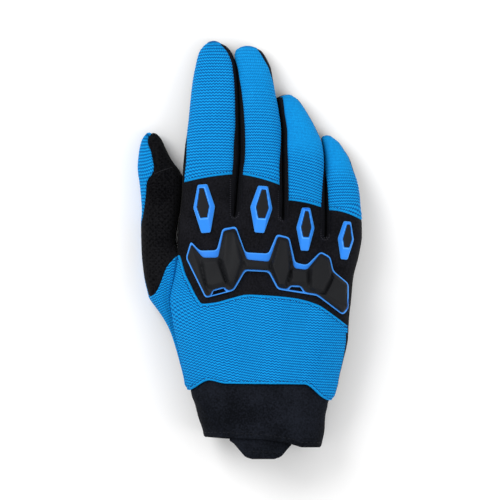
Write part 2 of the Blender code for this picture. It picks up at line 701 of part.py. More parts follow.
def build_thumb(cage, ring):
    """The thumb. The palm's suede runs round the web up to the thumb's first row."""
    panels = ["thumb_palm"] * THUMB_UPPER_COLUMNS + ["thumb_back"] * BACK_COLUMNS
    panels += ["thumb_palm"] * THUMB_UPPER_COLUMNS
    inner = "palm"
    for along in THUMB_STATIONS:
        front = cage.add(thumb_ring(along))
        cage.band(ring, front, panels + [inner] * FLANK_COLUMNS)
        ring = front
        inner = "thumb_palm"
    tip = HAND_LENGTH * 0.5 * (THUMB_ROOT_AHEAD + WEB_AHEAD) + THUMB_LENGTH
    cage.cap(ring, THUMB_UPPER_COLUMNS, tip, ("thumb_back", "thumb_palm"))


def build_cage():
    cage = Cage()
    roots = finger_roots(cage)
    build_fingers(cage, roots)
    build_thumb(cage, build_hand(cage, roots))
    return cage


def unit(vector):
    return vector / max(float(np.linalg.norm(vector)), 1e-12)


def face_normal(points, corners):
    a, b, c, d = (points[index] for index in corners)
    return unit(np.cross(c - a, d - b))


def cage_normals(cage):
    """Outward normal at every point of the cage, shared by all panels that meet there."""
    normals = np.zeros((len(cage.points), 3))
    for corners in cage.faces:
        for index in corners:
            normals[index] += face_normal(cage.points, corners)
    return [unit(normal) for normal in normals]


def panel_solid(name, cage, normals, wall, finish):
    """One cloth panel: its quads, drawn in from its seams and given a wall inwards."""
    faces = [corners for corners, panel in zip(cage.faces, cage.panels) if panel == name]
    border = {}
    for corners in faces:
        for here, there in zip(corners, corners[1:] + corners[:1]):
            border[(here, there)] = corners
    border = {edge: corners for edge, corners in border.items() if edge[::-1] not in border}
    inwards = {}
    for (here, there), corners in border.items():
        along = cage.points[there] - cage.points[here]
        side = unit(np.cross(face_normal(cage.points, corners), along))
        inwards.setdefault(here, []).append(side)
        inwards.setdefault(there, []).append(side)

    used = sorted({index for corners in faces for index in corners})
    place = {index: number for number, index in enumerate(used)}
    outer = []
    for index in used:
        point = cage.points[index]
        if index in inwards:
            first, last = inwards[index][0], inwards[index][-1]
            stretch = min(math.sqrt(2.0 / max(1.0 + float(first @ last), 1e-3)), SHARPEST_CORNER)
            point = point + 0.5 * SEAM_GAP * stretch * unit(first + last)
        outer.append(point)
    walls = [min(wall, SEWN_EDGE) if index in inwards else wall for index in used]
    inner = [point - depth * normals[index] for point, depth, index in zip(outer, walls, used)]
    count = len(used)
    solid_faces = [tuple(place[index] for index in corners) for corners in faces]
    solid_faces += [tuple(place[index] + count for index in reversed(corners)) for corners in faces]
    # Both panels at a seam split its edge along the same diagonal, so the edges stay apart.
    for here, there in border:
        a, b = place[here], place[there]
        if here < there:
            solid_faces += [(b, a, b + count), (a, a + count, b + count)]
        else:
            solid_faces += [(b, a, a + count), (b, a + count, b + count)]
    make_object(name, outer + inner, solid_faces, finish)


def make_object(name, points, faces, finish):
    mesh = bpy.data.meshes.new(name)
    mesh.from_pydata([tuple(map(float, point)) for point in points], [], faces)
    mesh.shade_smooth()
    mesh.set_sharp_from_angle(angle=math.radians(42.0))
    mesh.materials.append(material(name, finish))
    item = bpy.data.objects.new(name, mesh)
    bpy.context.scene.collection.objects.link(item)
    return item


def material(name, finish):
    made = bpy.data.materials.new(f"{name}_finish")
    made.use_nodes = True
    shader = made.node_tree.nodes["Principled BSDF"]
    shader.inputs["Base Color"].default_value = finish.colour
    shader.inputs["Roughness"].default_value = finish.roughness
    shader.inputs["Metallic"].default_value = finish.metallic
    return made


def outer_tree(cage):
    """A search tree of the cage's surface, for what sits on the cloth."""
    return BVHTree.FromPolygons([Vector(point) for point in cage.points], cage.faces)


class Seat:
    """The cloth's surface seen from above, for moulded pieces that sit on it."""

    def __init__(self, tree):
        self.tree = tree

    def drop(self, x, y):
        hit, _, _, _ = self.tree.ray_cast(Vector((x, y, 1.0)), Vector((0.0, 0.0, -1.0)))
        if hit is None:
            hit, _, _, _ = self.tree.find_nearest(Vector((x, y, 0.5 * HAND_THICKNESS)))
        return hit.z

    def point(self, place, height):
        """A place on the plan, lifted by a height measured square to the cloth."""
        x, y = place
        probe = 0.5 * RELIEF_GRID
        here = self.drop(x, y)
        right, left = self.drop(x + probe, y), self.drop(x - probe, y)
        ahead, behind = self.drop(x, y + probe), self.drop(x, y - probe)
        slope = math.hypot(right - left, ahead - behind) / (2.0 * probe)
        facing = 1.0 / math.sqrt(1.0 + slope * slope)
        bulge = max(0.0, here - 0.5 * (right + left), here - 0.5 * (ahead + behind))
        return np.array((x, y, here + bulge + height / max(facing, STEEPEST)))


def inside(place, outline):
    """Whether a place on the plan lies inside a closed outline."""
    x, y = place
    crossings = 0
    for (x0, y0), (x1, y1) in zip(outline, outline[1:] + outline[:1]):
        if (y0 > y) != (y1 > y) and x < mix(x0, x1, (y - y0) / (y1 - y0)):
            crossings += 1
    return crossings % 2 == 1


def clearance(place, outline):
    """Distance on the plan from a place to the nearest side of an outline."""
    best = 1.0
    for start, end in zip(outline, outline[1:] + outline[:1]):
        a, b, p = np.array(start), np.array(end), np.array(place)
        share = min(max(float((p - a) @ (b - a)) / max(float((b - a) @ (b - a)), 1e-12), 0.0), 1.0)
        best = min(best, float(np.linalg.norm(p - mix(a, b, share))))
    return best


def divide(line, closed):
    """A line's points with more between them, no further apart than the relief grid."""
    ends = line[1:] + line[:1] if closed else line[1:]
    points = []
    for start, end in zip(line, ends):
        steps = max(1, math.ceil(math.dist(start, end) / RELIEF_GRID))
        points += [tuple(mix(np.array(start), np.array(end), step / steps)) for step in range(steps)]
    return points if closed else points + [line[-1]]


def triangulate(lines, extra=()):
    """Triangles over all lines of a plan; each line is (points, closed)."""
    places, edges = [], []
    for points, closed in lines:
        start = len(places)
        places += [Vector(point) for point in points]
        steps = len(points) if closed else len(points) - 1
        edges += [(start + step, start + (step + 1) % len(points)) for step in range(steps)]
    places += [Vector(point) for point in extra]
    found, _, faces, _, _, _ = delaunay_2d_cdt(places, edges, [], 0, 1e-7)
    return [tuple(place) for place in found], faces


def relief_solid(name, seat, outline, levels, bottom, finish, holes=()):
    """A moulded piece on the cloth. levels lists (points, closed, height) above it.

    The first level is the outline. The heights are joined by flat facets, then divided
    so that the piece follows the cloth.
    """
    lines = [(points, closed) for points, closed, _ in levels]
    heights = {}
    for points, _, height in levels:
        for point in points:
            heights[(round(point[0], 6), round(point[1], 6))] = height
    places, faces = triangulate(lines)
    tops = [Vector((x, y, heights.get((round(x, 6), round(y, 6)), levels[0][2]))) for x, y in places]
    facets = BVHTree.FromPolygons(tops, faces)

    xs = [point[0] for point in outline]
    ys = [point[1] for point in outline]
    fine = [(divide(points, closed), closed) for points, closed in lines]
    fine += [(divide(hole, True), True) for hole in holes]
    grid = []
    for i in range(int((max(xs) - min(xs)) / RELIEF_GRID) + 1):
        for j in range(int((max(ys) - min(ys)) / RELIEF_GRID) + 1):
            place = (min(xs) + (i + 0.5) * RELIEF_GRID, min(ys) + (j + 0.5) * RELIEF_GRID)
            far = all(clearance(place, points) > 0.3 * RELIEF_GRID for points, _ in fine)
            if far and inside(place, outline):
                grid.append(place)
    places, faces = triangulate(fine, grid)
    kept = []
    for corners in faces:
        centre = tuple(sum(places[index][axis] for index in corners) / 3.0 for axis in (0, 1))
        if inside(centre, outline) and not any(inside(centre, hole) for hole in holes):
            kept.append(tuple(corners))

    used = sorted({index for corners in kept for index in corners})
    place_of = {index: number for number, index in enumerate(used)}
    top, under = [], []
    for index in used:
        x, y = places[index]
        hit, _, _, _ = facets.ray_cast(Vector((x, y, 1.0)), Vector((0.0, 0.0, -1.0)))
        height = hit.z if hit is not None else levels[0][2]
        top.append(seat.point((x, y), height))
        under.append(seat.point((x, y), bottom))
    upward = [turned(corners, places) for corners in kept]
    edges = {(a, b) for corners in upward for a, b in zip(corners, corners[1:] + corners[:1])}
    count = len(used)
    solid = [tuple(place_of[index] for index in corners) for corners in upward]
    solid += [tuple(place_of[index] + count for index in reversed(corners)) for corners in upward]
    for a, b in sorted(edges):
        if (b, a) not in edges:
            solid.append((place_of[b], place_of[a], place_of[a] + count, place_of[b] + count))
    make_object(name, top + under, solid, finish)


def turned(corners, places):
    """A triangle's corners, counter-clockwise seen from above."""
    (x0, y0), (x1, y1), (x2, y2) = (places[index] for index in corners)
    area = (x1 - x0) * (y2 - y0) - (x2 - x0) * (y1 - y0)
    return corners if area > 0.0 else corners[::-1]


def guard_place(step):
    across = (step[0] / GUARD_STEPS_ACROSS - 0.5) * GUARD_WIDTH + GUARD_ACROSS * PALM_WIDTH
    ahead = (step[1] / GUARD_STEPS_AHEAD - 0.5) * GUARD_DEPTH + GUARD_AHEAD * HAND_LENGTH
    return across, ahead


def knuckle_guard(seat):
    """The blue base on the knuckle panel and the faceted grey top on the base."""
    base = [guard_place(step) for step in GUARD_BASE_OUTLINE]
    slots = [[guard_place(step) for step in slot] for slot in GUARD_BASE_SLOTS]
    height = SEAT_GAP + GUARD_BASE_THICKNESS
    relief_solid("knuckle_guard_base", seat, base, [(base, True, height)], SEAT_GAP, BLUE_RUBBER, slots)

    top = [guard_place(step) for step in GUARD_TOP_OUTLINE]
    bottom = height + SEAT_GAP
    levels = [(top, True, bottom + GUARD_EDGE_RELIEF * GUARD_RELIEF)]
    for share, corners in GUARD_FACES:
        levels.append(([guard_place(step) for step in corners], True, bottom + share * GUARD_RELIEF))
    for line in GUARD_GROOVES:
        levels.append(([guard_place(step) for step in line], False, bottom + GUARD_GROOVE * GUARD_RELIEF))
    relief_solid("knuckle_guard", seat, top, levels, bottom, GREY_RUBBER)


def pad_outline(corners, pad, number, inset=0.0):
    """Corners of a pad or its insert on the plan, drawn in by an inset."""
    _, width, length, across, ahead, lean, _ = pad
    finger = FINGERS[number]
    centre_x = 0.5 * (crotch_x(number) + crotch_x(number + 1)) + across * finger.width
    centre_y = finger_y(number, 0.0, 0.5) + ahead * finger.length
    turn = math.radians(lean)
    points = []
    for share_x, share_y in corners:
        x = share_x * width - math.copysign(inset, share_x)
        y = share_y * length - math.copysign(inset, share_y) * (abs(share_y) > 0.1)
        points.append((centre_x + x * math.cos(turn) - y * math.sin(turn),
                       centre_y + x * math.sin(turn) + y * math.cos(turn)))
    return points[::-1]


def pads(seat):
    """Each finger's pad: a blue bevelled frame with a dark insert in its pocket."""
    for number, pad in enumerate(PADS):
        name, shift = pad[0], pad[-1]
        corners = [(x + shift, y) for x, y in INSERT_CORNERS]
        outer = pad_outline(PAD_CORNERS, pad, number)
        rim = pad_outline(corners, pad, number)
        floor = pad_outline(corners, pad, number, 0.5 * SEAM_GAP)
        levels = [
            (outer, True, SEAT_GAP + PAD_EDGE_HEIGHT),
            (rim, True, SEAT_GAP + PAD_HEIGHT),
            (floor, True, SEAT_GAP + PAD_HEIGHT - PAD_POCKET),
        ]
        relief_solid(f"{name}_pad_frame", seat, outer, levels, SEAT_GAP, BLUE_RUBBER)
        insert = pad_outline(corners, pad, number, SEAM_GAP + 0.5 * SEAM_GAP)
        bottom = PAD_HEIGHT - PAD_POCKET + 2.0 * SEAT_GAP
        levels = [(insert, True, bottom + INSERT_THICKNESS)]
        relief_solid(f"{name}_pad_insert", seat, insert, levels, bottom, GREY_RUBBER)


def pull_tab():
    """A flat tab tucked under the back of the cuff, where the fingers pull it on."""
    across_steps, along_steps = 8, 5
    mouth = -CUFF_LENGTH
    centre = 0.062 * -PALM_WIDTH
    top, under = [], []
    for j in range(along_steps + 1):
        along = j / along_steps
        y = mix(mouth + TAB_TUCK, mouth - TAB_REACH, along)
        taper = 1.0 - 0.48 * max(0.0, (mouth - y) / TAB_REACH) ** 1.3
        for i in range(across_steps + 1):
            x = centre + (i / across_steps - 0.5) * TAB_WIDTH * taper
            left, right, low, high = body_edges(max(y, mouth))
            reach = (2.0 * x - left - right) / (right - left)
            up = (1.0 - abs(reach) ** TOP_FULLNESS) ** (1.0 / TOP_FULLNESS)
            roof = mix(low, high, 0.5 + 0.5 * up) - CUFF_FOAM - SEAT_GAP - SEAM_GAP
            top.append(np.array((x, y, roof)))
            under.append(np.array((x, y, roof - TAB_THICKNESS)))
    wide = across_steps + 1
    count = len(top)
    faces = []
    for j in range(along_steps):
        for i in range(across_steps):
            a = j * wide + i
            faces.append((a, a + wide, a + wide + 1, a + 1))
    edges = {(a, b) for corners in faces for a, b in zip(corners, corners[1:] + corners[:1])}
    border = sorted(edge for edge in edges if edge[::-1] not in edges)
    solid = faces + [tuple(index + count for index in reversed(corners)) for corners in faces]
    solid += [(b, a, a + count, b + count) for a, b in border]
    make_object("pull_tab", top + under, solid, CUFF_BLACK)


def stand_on_floor():
    """Move everything so that the middle of the glove's base is at the origin."""
    meshes = [item.data for item in bpy.context.scene.objects]
    places = np.array([tuple(vertex.co) for mesh in meshes for vertex in mesh.vertices])
    low, high = places.min(axis=0), places.max(axis=0)
    shift = (-0.5 * (low[0] + high[0]), -0.5 * (low[1] + high[1]), -low[2])
    for mesh in meshes:
        for vertex in mesh.vertices:
            vertex.co = [value + move for value, move in zip(vertex.co, shift)]


def face_outwards():
    """Turn any solid whose faces point in."""
    for item in bpy.context.scene.objects:
        form = bmesh.new()
        form.from_mesh(item.data)
        if form.calc_volume(signed=True) < 0.0:
            bmesh.ops.reverse_faces(form, faces=form.faces)
        form.to_mesh(item.data)
        form.free()


def main():
    clear_scene()
    cage = build_cage()
    normals = cage_normals(cage)
    for finger in FINGERS:
        panel_solid(f"{finger.name}_finger_back", cage, normals, STRETCH_CLOTH, BLUE_CLOTH)
    panel_solid("thumb_back", cage, normals, STRETCH_CLOTH, BLUE_CLOTH)
    panel_solid("hand_back", cage, normals, STRETCH_CLOTH, BLUE_CLOTH)
    panel_solid("knuckle_panel", cage, normals, KNUCKLE_FOAM, BLACK_FOAM)
    panel_solid("palm", cage, normals, PALM_SUEDE, BLACK_SUEDE)
    panel_solid("thumb_palm", cage, normals, PALM_SUEDE, BLACK_SUEDE)
    for name in side_panels()[1:-1]:
        panel_solid(name, cage, normals, SIDE_MESH, BLACK_MESH)
    panel_solid("cuff", cage, normals, CUFF_FOAM, CUFF_BLACK)
    pull_tab()
    seat = Seat(outer_tree(cage))
    knuckle_guard(seat)
    pads(seat)
    face_outwards()
    stand_on_floor()


main()
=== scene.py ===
# %% [markdown]
# # A riding glove, lying palm down
#
# A slip-on glove for off-road riding is sewn from flat panels: ribbed stretch cloth on the
# backs of the fingers and of the hand, suede on the palm, mesh between the fingers, thin foam
# over the knuckles and a soft cuff. Moulded rubber is bonded on top of the knuckle panel.
#
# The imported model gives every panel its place. Here each panel is made again, finer, with
# the relief, the hems and the stitches that the cloth has.

# %% Open the frame
import math
from collections import namedtuple
from functools import partial

import bpy
import numpy as np
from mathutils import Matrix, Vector, noise
from mathutils.bvhtree import BVHTree
from mathutils.geometry import delaunay_2d_cdt
from mathutils.kdtree import KDTree


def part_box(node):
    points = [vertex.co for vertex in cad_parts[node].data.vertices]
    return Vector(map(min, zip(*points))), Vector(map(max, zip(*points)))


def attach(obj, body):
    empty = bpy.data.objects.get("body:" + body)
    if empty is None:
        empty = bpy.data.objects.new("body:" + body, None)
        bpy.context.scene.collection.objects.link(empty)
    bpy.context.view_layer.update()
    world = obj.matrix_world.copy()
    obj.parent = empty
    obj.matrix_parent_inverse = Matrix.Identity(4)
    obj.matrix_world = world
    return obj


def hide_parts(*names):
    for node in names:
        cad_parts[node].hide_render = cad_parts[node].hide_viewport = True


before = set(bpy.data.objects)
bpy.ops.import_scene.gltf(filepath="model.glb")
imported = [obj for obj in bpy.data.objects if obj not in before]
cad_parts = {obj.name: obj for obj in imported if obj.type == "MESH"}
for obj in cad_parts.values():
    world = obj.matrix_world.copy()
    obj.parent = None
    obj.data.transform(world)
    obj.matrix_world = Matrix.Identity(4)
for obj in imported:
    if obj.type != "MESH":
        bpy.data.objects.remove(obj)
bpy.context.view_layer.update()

# %% [markdown]
# ## Camera, light and floor
#
# The glove is seen straight from above. A product picture is taken from far away with a long
# lens, which shows no perspective, so an orthographic camera gives the same view. One large
# soft lamp from the upper left models the shapes. A weaker one from the right and a bright
# surround fill the shadows, as the white walls of a photo studio do.

# %% Camera
PICTURE_WIDTH = 0.275
PICTURE_MIDDLE = (0.0002, 0.0003)
CAMERA_HEIGHT = 1.0


def add_object(name, data):
    """A new object in the scene, at the origin and unturned."""
    made = bpy.data.objects.new(name, data)
    bpy.context.scene.collection.objects.link(made)
    return made


camera_data = bpy.data.cameras.new("camera")
camera_data.type = "ORTHO"
camera_data.ortho_scale = PICTURE_WIDTH
camera = add_object("camera", camera_data)
camera.location = (*PICTURE_MIDDLE, CAMERA_HEIGHT)
bpy.context.scene.camera = camera
bpy.context.scene.view_settings.view_transform = "Standard"
print("the picture is", PICTURE_WIDTH, "m wide")

# %% Light
SURROUND_STRENGTH = 0.79
LAMP_SIZE = 0.60
LAMPS = {"key_lamp": ((-0.55, 0.45, 0.80), 5.8), "fill_lamp": ((0.70, -0.25, 0.70), 2.6)}

world = bpy.data.worlds.new("surround")
world.use_nodes = True
surround = world.node_tree.nodes["Background"].inputs
surround["Color"].default_value = (1.0, 1.0, 1.0, 1.0)
surround["Strength"].default_value = SURROUND_STRENGTH
bpy.context.scene.world = world
for lamp_name, (place, power) in LAMPS.items():
    lamp_data = bpy.data.lights.new(lamp_name, "AREA")
    lamp_data.size = LAMP_SIZE
    lamp_data.energy = power
    lamp = add_object(lamp_name, lamp_data)
    lamp.location = place
    # A lamp shines along its own -Z, so its +Z points away from the glove
    lamp.rotation_euler = Vector(place).to_track_quat("Z", "Y").to_euler()
print(len(LAMPS), "lamps and a bright surround")

# %% [markdown]
# ## Helpers for materials
#
# Every finish is a node tree of its own. A small helper adds a node, sets its fields and its
# inputs, and another takes a colour as it would be picked from a picture. All patterns are
# fixed to the object's own coordinates or to the mesh's attributes, so they never slide.


# %% Node helpers
def linear(red, green, blue):
    """A picked colour, 0 to 255, as the shader wants it."""
    shares = [value / 255.0 for value in (red, green, blue)]
    return tuple(s / 12.92 if s <= 0.04045 else ((s + 0.055) / 1.055) ** 2.4 for s in shares) + (1.0,)


def add_node(tree, kind, inputs=(), **fields):
    """A new node. inputs maps a socket's name or number to a value or to another socket."""
    node = tree.nodes.new(kind)
    for field, value in fields.items():
        setattr(node, field, value)
    for socket, value in dict(inputs).items():
        if isinstance(value, bpy.types.NodeSocket):
            tree.links.new(value, node.inputs[socket])
        else:
            node.inputs[socket].default_value = value
    return node


def math_node(tree, operation, *values):
    """One step of arithmetic on numbers or sockets."""
    return add_node(tree, "ShaderNodeMath", dict(enumerate(values)), operation=operation).outputs[0]


def ramp(tree, value, start, end, low, high):
    """Runs from low to high while the value runs from start to end."""
    inputs = {0: value, 1: start, 2: end, 3: low, 4: high}
    return add_node(tree, "ShaderNodeMapRange", inputs).outputs[0]


def mix_colour(tree, share, first, second):
    inputs = {0: share, 6: first, 7: second}
    return add_node(tree, "ShaderNodeMix", inputs, data_type="RGBA").outputs[2]


# %% Finish helpers
def new_finish(name, roughness, specular, sheen=0.0):
    """A material with its fixed numbers set on the shader itself."""
    made = bpy.data.materials.new(name)
    made.use_nodes = True
    shader = made.node_tree.nodes["Principled BSDF"]
    fixed = {
        "Roughness": roughness, "Specular IOR Level": specular, "Sheen Weight": sheen,
        "Sheen Roughness": 0.5, "Sheen Tint": (1.0, 1.0, 1.0, 1.0),
    }
    for socket, value in fixed.items():
        shader.inputs[socket].default_value = value
    return made, made.node_tree, shader


def object_noise(tree, scale, detail=2.0):
    """Noise that is fixed to the object."""
    place = add_node(tree, "ShaderNodeTexCoord").outputs["Object"]
    inputs = {"Vector": place, "Scale": scale, "Detail": detail}
    return add_node(tree, "ShaderNodeTexNoise", inputs).outputs[0]


def attribute(tree, name):
    """A number kept at each point of the mesh."""
    return add_node(tree, "ShaderNodeAttribute", attribute_name=name).outputs["Fac"]


def paint(tree, shader, share, dark, light):
    tree.links.new(mix_colour(tree, share, dark, light), shader.inputs["Base Color"])


def bump(tree, shader, strength, distance, height):
    """Fine relief that only the light sees."""
    inputs = {"Strength": strength, "Distance": distance, "Height": height}
    node = add_node(tree, "ShaderNodeBump", inputs)
    tree.links.new(node.outputs[0], shader.inputs["Normal"])


# %% [markdown]
# ## Floor
#
# A plain pale board, far larger than the picture.

# %% Floor
FLOOR_HALF = 3.0
FLOOR_TONE = 0.93


def new_mesh(name, points, faces=(), edges=()):
    mesh = bpy.data.meshes.new(name)
    mesh.from_pydata(points, edges, faces)
    return mesh


floor_finish, _, floor_shader = new_finish("pale_board", 0.9, 0.0)
floor_shader.inputs["Base Color"].default_value = (FLOOR_TONE, FLOOR_TONE, FLOOR_TONE, 1.0)
floor_corners = [(x * FLOOR_HALF, y * FLOOR_HALF, 0.0) for x, y in ((-1, -1), (1, -1), (1, 1), (-1, 1))]
floor_mesh = new_mesh("floor", floor_corners, [(0, 1, 2, 3)])
floor_mesh.materials.append(floor_finish)
floor = add_object("floor", floor_mesh)
print("floor", 2 * FLOOR_HALF, "m wide")

# %% [markdown]
# ## Sizes of the glove
#
# The hand is drawn from a few sizes in metres and from tables of shares of those sizes. The
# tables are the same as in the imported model, so the fine panels lie where its panels lie.

# %% Sizes
HAND_LENGTH = 0.0910
HAND_THICKNESS = 0.0380
CUFF_LENGTH = 0.0314
THUMB_LENGTH = 0.0788
THUMB_WIDTH = 0.0215
THUMB_THICKNESS = 0.0205
FINGER_GAP = -0.0001
TOP_FULLNESS = 2.4
UNDER_FULLNESS = 2.8
PALM_FROM_DEG = 215.0
PALM_TO_DEG = 325.0
FLANK_END_DEG = 8.0
SIDE_WRAP_DEG = 10.0
THUMB_INNER_DEG = 25.0
WEB_AHEAD = 0.779
THUMB_ROOT_AHEAD = 0.526
ROOT_BOW = 0.13
THUMB_TIP = HAND_LENGTH * 0.5 * (THUMB_ROOT_AHEAD + WEB_AHEAD) + THUMB_LENGTH
print("the thumb ends", round(THUMB_TIP * 1000, 1), "mm ahead of the wrist")

# %% [markdown]
# The finger tables go along each finger, from its root at 0 to its tip at 1. They say how far
# the edges draw in, as shares of the finger's width, and at which angles of the section the
# seams lie. The fingers of an empty glove lie side by side and lean towards the little one.

# %% Fingers
GIRTH_COLUMNS = "along thick lift"
GIRTH = [
    (0.00, 1.00, 1.00), (0.26, 0.98, 0.92), (0.54, 0.92, 0.76), (0.66, 0.86, 0.64), (0.77, 0.79, 0.52),
    (0.86, 0.72, 0.43), (0.93, 0.58, 0.37), (0.975, 0.38, 0.34), (0.994, 0.20, 0.33),
]
FINGER_COLUMNS = "along left right right_seam left_seam"
INDEX_ROWS = [
    (0.00, 0.000, 0.00, 43, 172), (0.13, 0.043, 0.00, 43, 166), (0.26, 0.060, 0.00, 43, 153),
    (0.40, 0.100, 0.00, 42, 162), (0.54, 0.168, 0.00, 38, 184), (0.66, 0.205, 0.00, 37, 184),
    (0.77, 0.245, 0.00, 37, 184), (0.86, 0.300, 0.00, 38, 182), (0.93, 0.355, 0.03, 45, 178),
    (0.975, 0.454, 0.12, 57, 172), (0.994, 0.545, 0.215, 63, 170),
]
MIDDLE_ROWS = [
    (0.00, 0.000, 0.00, 42, 140), (0.26, 0.000, 0.00, 34, 140), (0.40, 0.000, 0.00, 23, 138),
    (0.54, 0.000, 0.00, 8, 136), (0.66, 0.000, 0.00, 0, 140), (0.77, 0.000, 0.00, 4, 150),
    (0.86, 0.000, 0.010, 24, 160), (0.93, 0.000, 0.085, 34, 172), (0.975, 0.070, 0.185, 34, 176),
    (0.994, 0.210, 0.275, 32, 176),
]
RING_ROWS = [
    (0.00, 0.000, 0.00, 42, 134), (0.26, 0.000, 0.00, 36, 133), (0.40, 0.000, 0.00, 24, 134),
    (0.54, 0.000, 0.00, 8, 135), (0.66, 0.000, 0.00, 6, 133), (0.77, 0.000, 0.10, 6, 129),
    (0.86, 0.000, 0.24, 6, 124), (0.93, 0.000, 0.37, 8, 115), (0.975, 0.010, 0.485, 10, 109),
    (0.994, 0.100, 0.620, 10, 108),
]
LITTLE_ROWS = [
    (0.00, 0.000, 0.000, 8, 138), (0.13, 0.000, 0.005, 4, 138), (0.26, 0.000, 0.045, 0, 138),
    (0.40, 0.000, 0.070, 0, 139), (0.54, 0.000, 0.130, 2, 148), (0.66, 0.000, 0.240, 8, 166),
    (0.77, 0.000, 0.345, 9, 172), (0.86, 0.000, 0.500, 6, 172), (0.93, 0.000, 0.635, 5, 170),
    (0.975, 0.010, 0.790, 5, 168), (0.994, 0.060, 0.860, 5, 168),
]
Finger = namedtuple("Finger", "name length width thickness height hem rows")
FINGERS = [
    Finger("index", 0.0969, 0.0305, 0.0220, 0.0200, (0.195, 0.230, 0.246), INDEX_ROWS),
    Finger("middle", 0.0950, 0.0263, 0.0226, 0.0206, (0.251, 0.232, 0.194), MIDDLE_ROWS),
    Finger("ring", 0.0742, 0.0235, 0.0215, 0.0200, (0.157, 0.200, 0.211), RING_ROWS),
    Finger("little", 0.0565, 0.0200, 0.0190, 0.0182, (0.277, 0.253, 0.171), LITTLE_ROWS),
]
PALM_WIDTH = sum(finger.width for finger in FINGERS)
PAST_HEM = 0.33
TIP_RING = 0.984
print("palm", round(PALM_WIDTH * 1000, 1), "mm wide")

# %% [markdown]
# The fingers meet in lanes, whose bend is a table too. The tables of the hand and of the
# thumb give their edges and their height, and three more lines give the seams of the knuckle
# panel and of the wrist and the cuff's mouth, as they are seen from above.

# %% Hand, lanes between the fingers, and thumb
CROTCH_AHEAD = (0.008, 0.008, -0.007, -0.123, -0.112)
LANE_COLUMNS = "ahead index_middle middle_ring ring_little"
LANE_ROWS = [
    (0.000, 0.0000, 0.000, 0.000), (0.125, 0.0095, 0.002, -0.003), (0.250, 0.0190, -0.002, -0.005),
    (0.375, 0.0285, -0.004, -0.011), (0.500, 0.0275, -0.008, -0.030), (0.625, 0.0245, -0.025, -0.041),
    (0.750, 0.0190, -0.046, -0.050), (0.875, 0.0080, -0.063, -0.055), (1.000, -0.0160, -0.077, -0.058),
]
BODY_COLUMNS = "along left right low high"
BODY_ROWS = [
    (-1.10, 0.356, 0.276, 0.02, 1.00), (-0.81, 0.373, 0.295, 0.01, 0.99),
    (-0.56, 0.399, 0.300, 0.00, 0.98), (-0.35, 0.416, 0.318, 0.00, 0.965),
    (-0.18, 0.439, 0.353, 0.00, 0.955), (0.024, 0.4715, 0.373, 0.00, 0.955),
    (0.133, 0.496, 0.396, 0.00, 0.965), (0.278, 0.526, 0.424, 0.00, 0.985),
    (0.40, 0.5455, 0.430, 0.00, 1.00), (0.508, 0.5565, 0.441, 0.00, 0.99),
    (0.64, 0.532, 0.452, 0.013, 0.965), (0.78, 0.5126, 0.4825, 0.08, 0.92),
    (0.90, 0.509, 0.499, 0.16, 0.87), (1.00, 0.500, 0.500, 0.22, 0.815),
]
KNUCKLE_EDGE = [
    (-0.502, WEB_AHEAD), (-0.474, 0.677), (-0.441, 0.604), (-0.408, 0.532), (-0.376, 0.486),
    (-0.304, 0.493), (-0.217, 0.519), (-0.125, 0.541), (-0.008, 0.535), (0.129, 0.520), (0.257, 0.480),
    (0.348, 0.414), (0.419, 0.355),
]
WRIST_SEAM = [
    (-0.441, -0.036), (-0.337, 0.022), (-0.249, 0.003), (-0.016, 0.000), (0.185, -0.002),
    (0.321, -0.098), (0.337, -0.097),
]
MOUTH_EDGE = [(-0.356, 0.930), (-0.227, 0.953), (-0.074, 0.965), (0.138, 1.033), (0.274, 1.110)]
THUMB_COLUMNS = "along left right lift thick inner_seam upper_seam lower_seam"
THUMB_ROWS = [
    (0.00, -0.777, -0.060, 0.560, 1.12, 55, 180, 245),
    (0.15, -0.920, -0.090, 0.530, 1.06, 45, 192, 245),
    (0.30, -0.977, -0.030, 0.505, 1.01, 33, 200, 245), (0.42, -0.986, 0.040, 0.500, 1.00, 25, 192, 245),
    (0.52, -0.954, 0.095, 0.500, 1.00, 25, 162, 245), (0.61, -0.975, 0.105, 0.495, 0.99, 25, 144, 245),
    (0.70, -1.015, -0.015, 0.475, 0.95, 25, 126, 245),
    (0.745, -1.045, -0.130, 0.458, 0.92, 25, 97, 245), (0.79, -1.060, -0.225, 0.440, 0.88, 25, 92, 245),
    (0.87, -1.033, -0.350, 0.400, 0.76, 25, 94, 243), (0.94, -0.975, -0.450, 0.370, 0.57, 25, 109, 240),
    (0.98, -0.892, -0.545, 0.355, 0.36, 25, 116, 240),
    (0.994, -0.828, -0.620, 0.350, 0.20, 25, 118, 240),
]
FADE_ROWS = [
    (0.00, 1.00, 1.00), (0.167, 0.74, 0.51), (0.333, 0.46, 0.18), (0.50, 0.26, 0.05),
    (0.667, 0.12, 0.01), (0.833, 0.03, 0.00), (1.00, 0.00, 0.00),
]
print(len(BODY_ROWS), "rows for the hand,", len(THUMB_ROWS), "for the thumb")

# %% [markdown]
# ## Reading the tables
#
# A table is read smoothly between its rows. The curve through the rows never swings past
# them, which keeps a finger's edge calm. Whole rows of points are read at once.


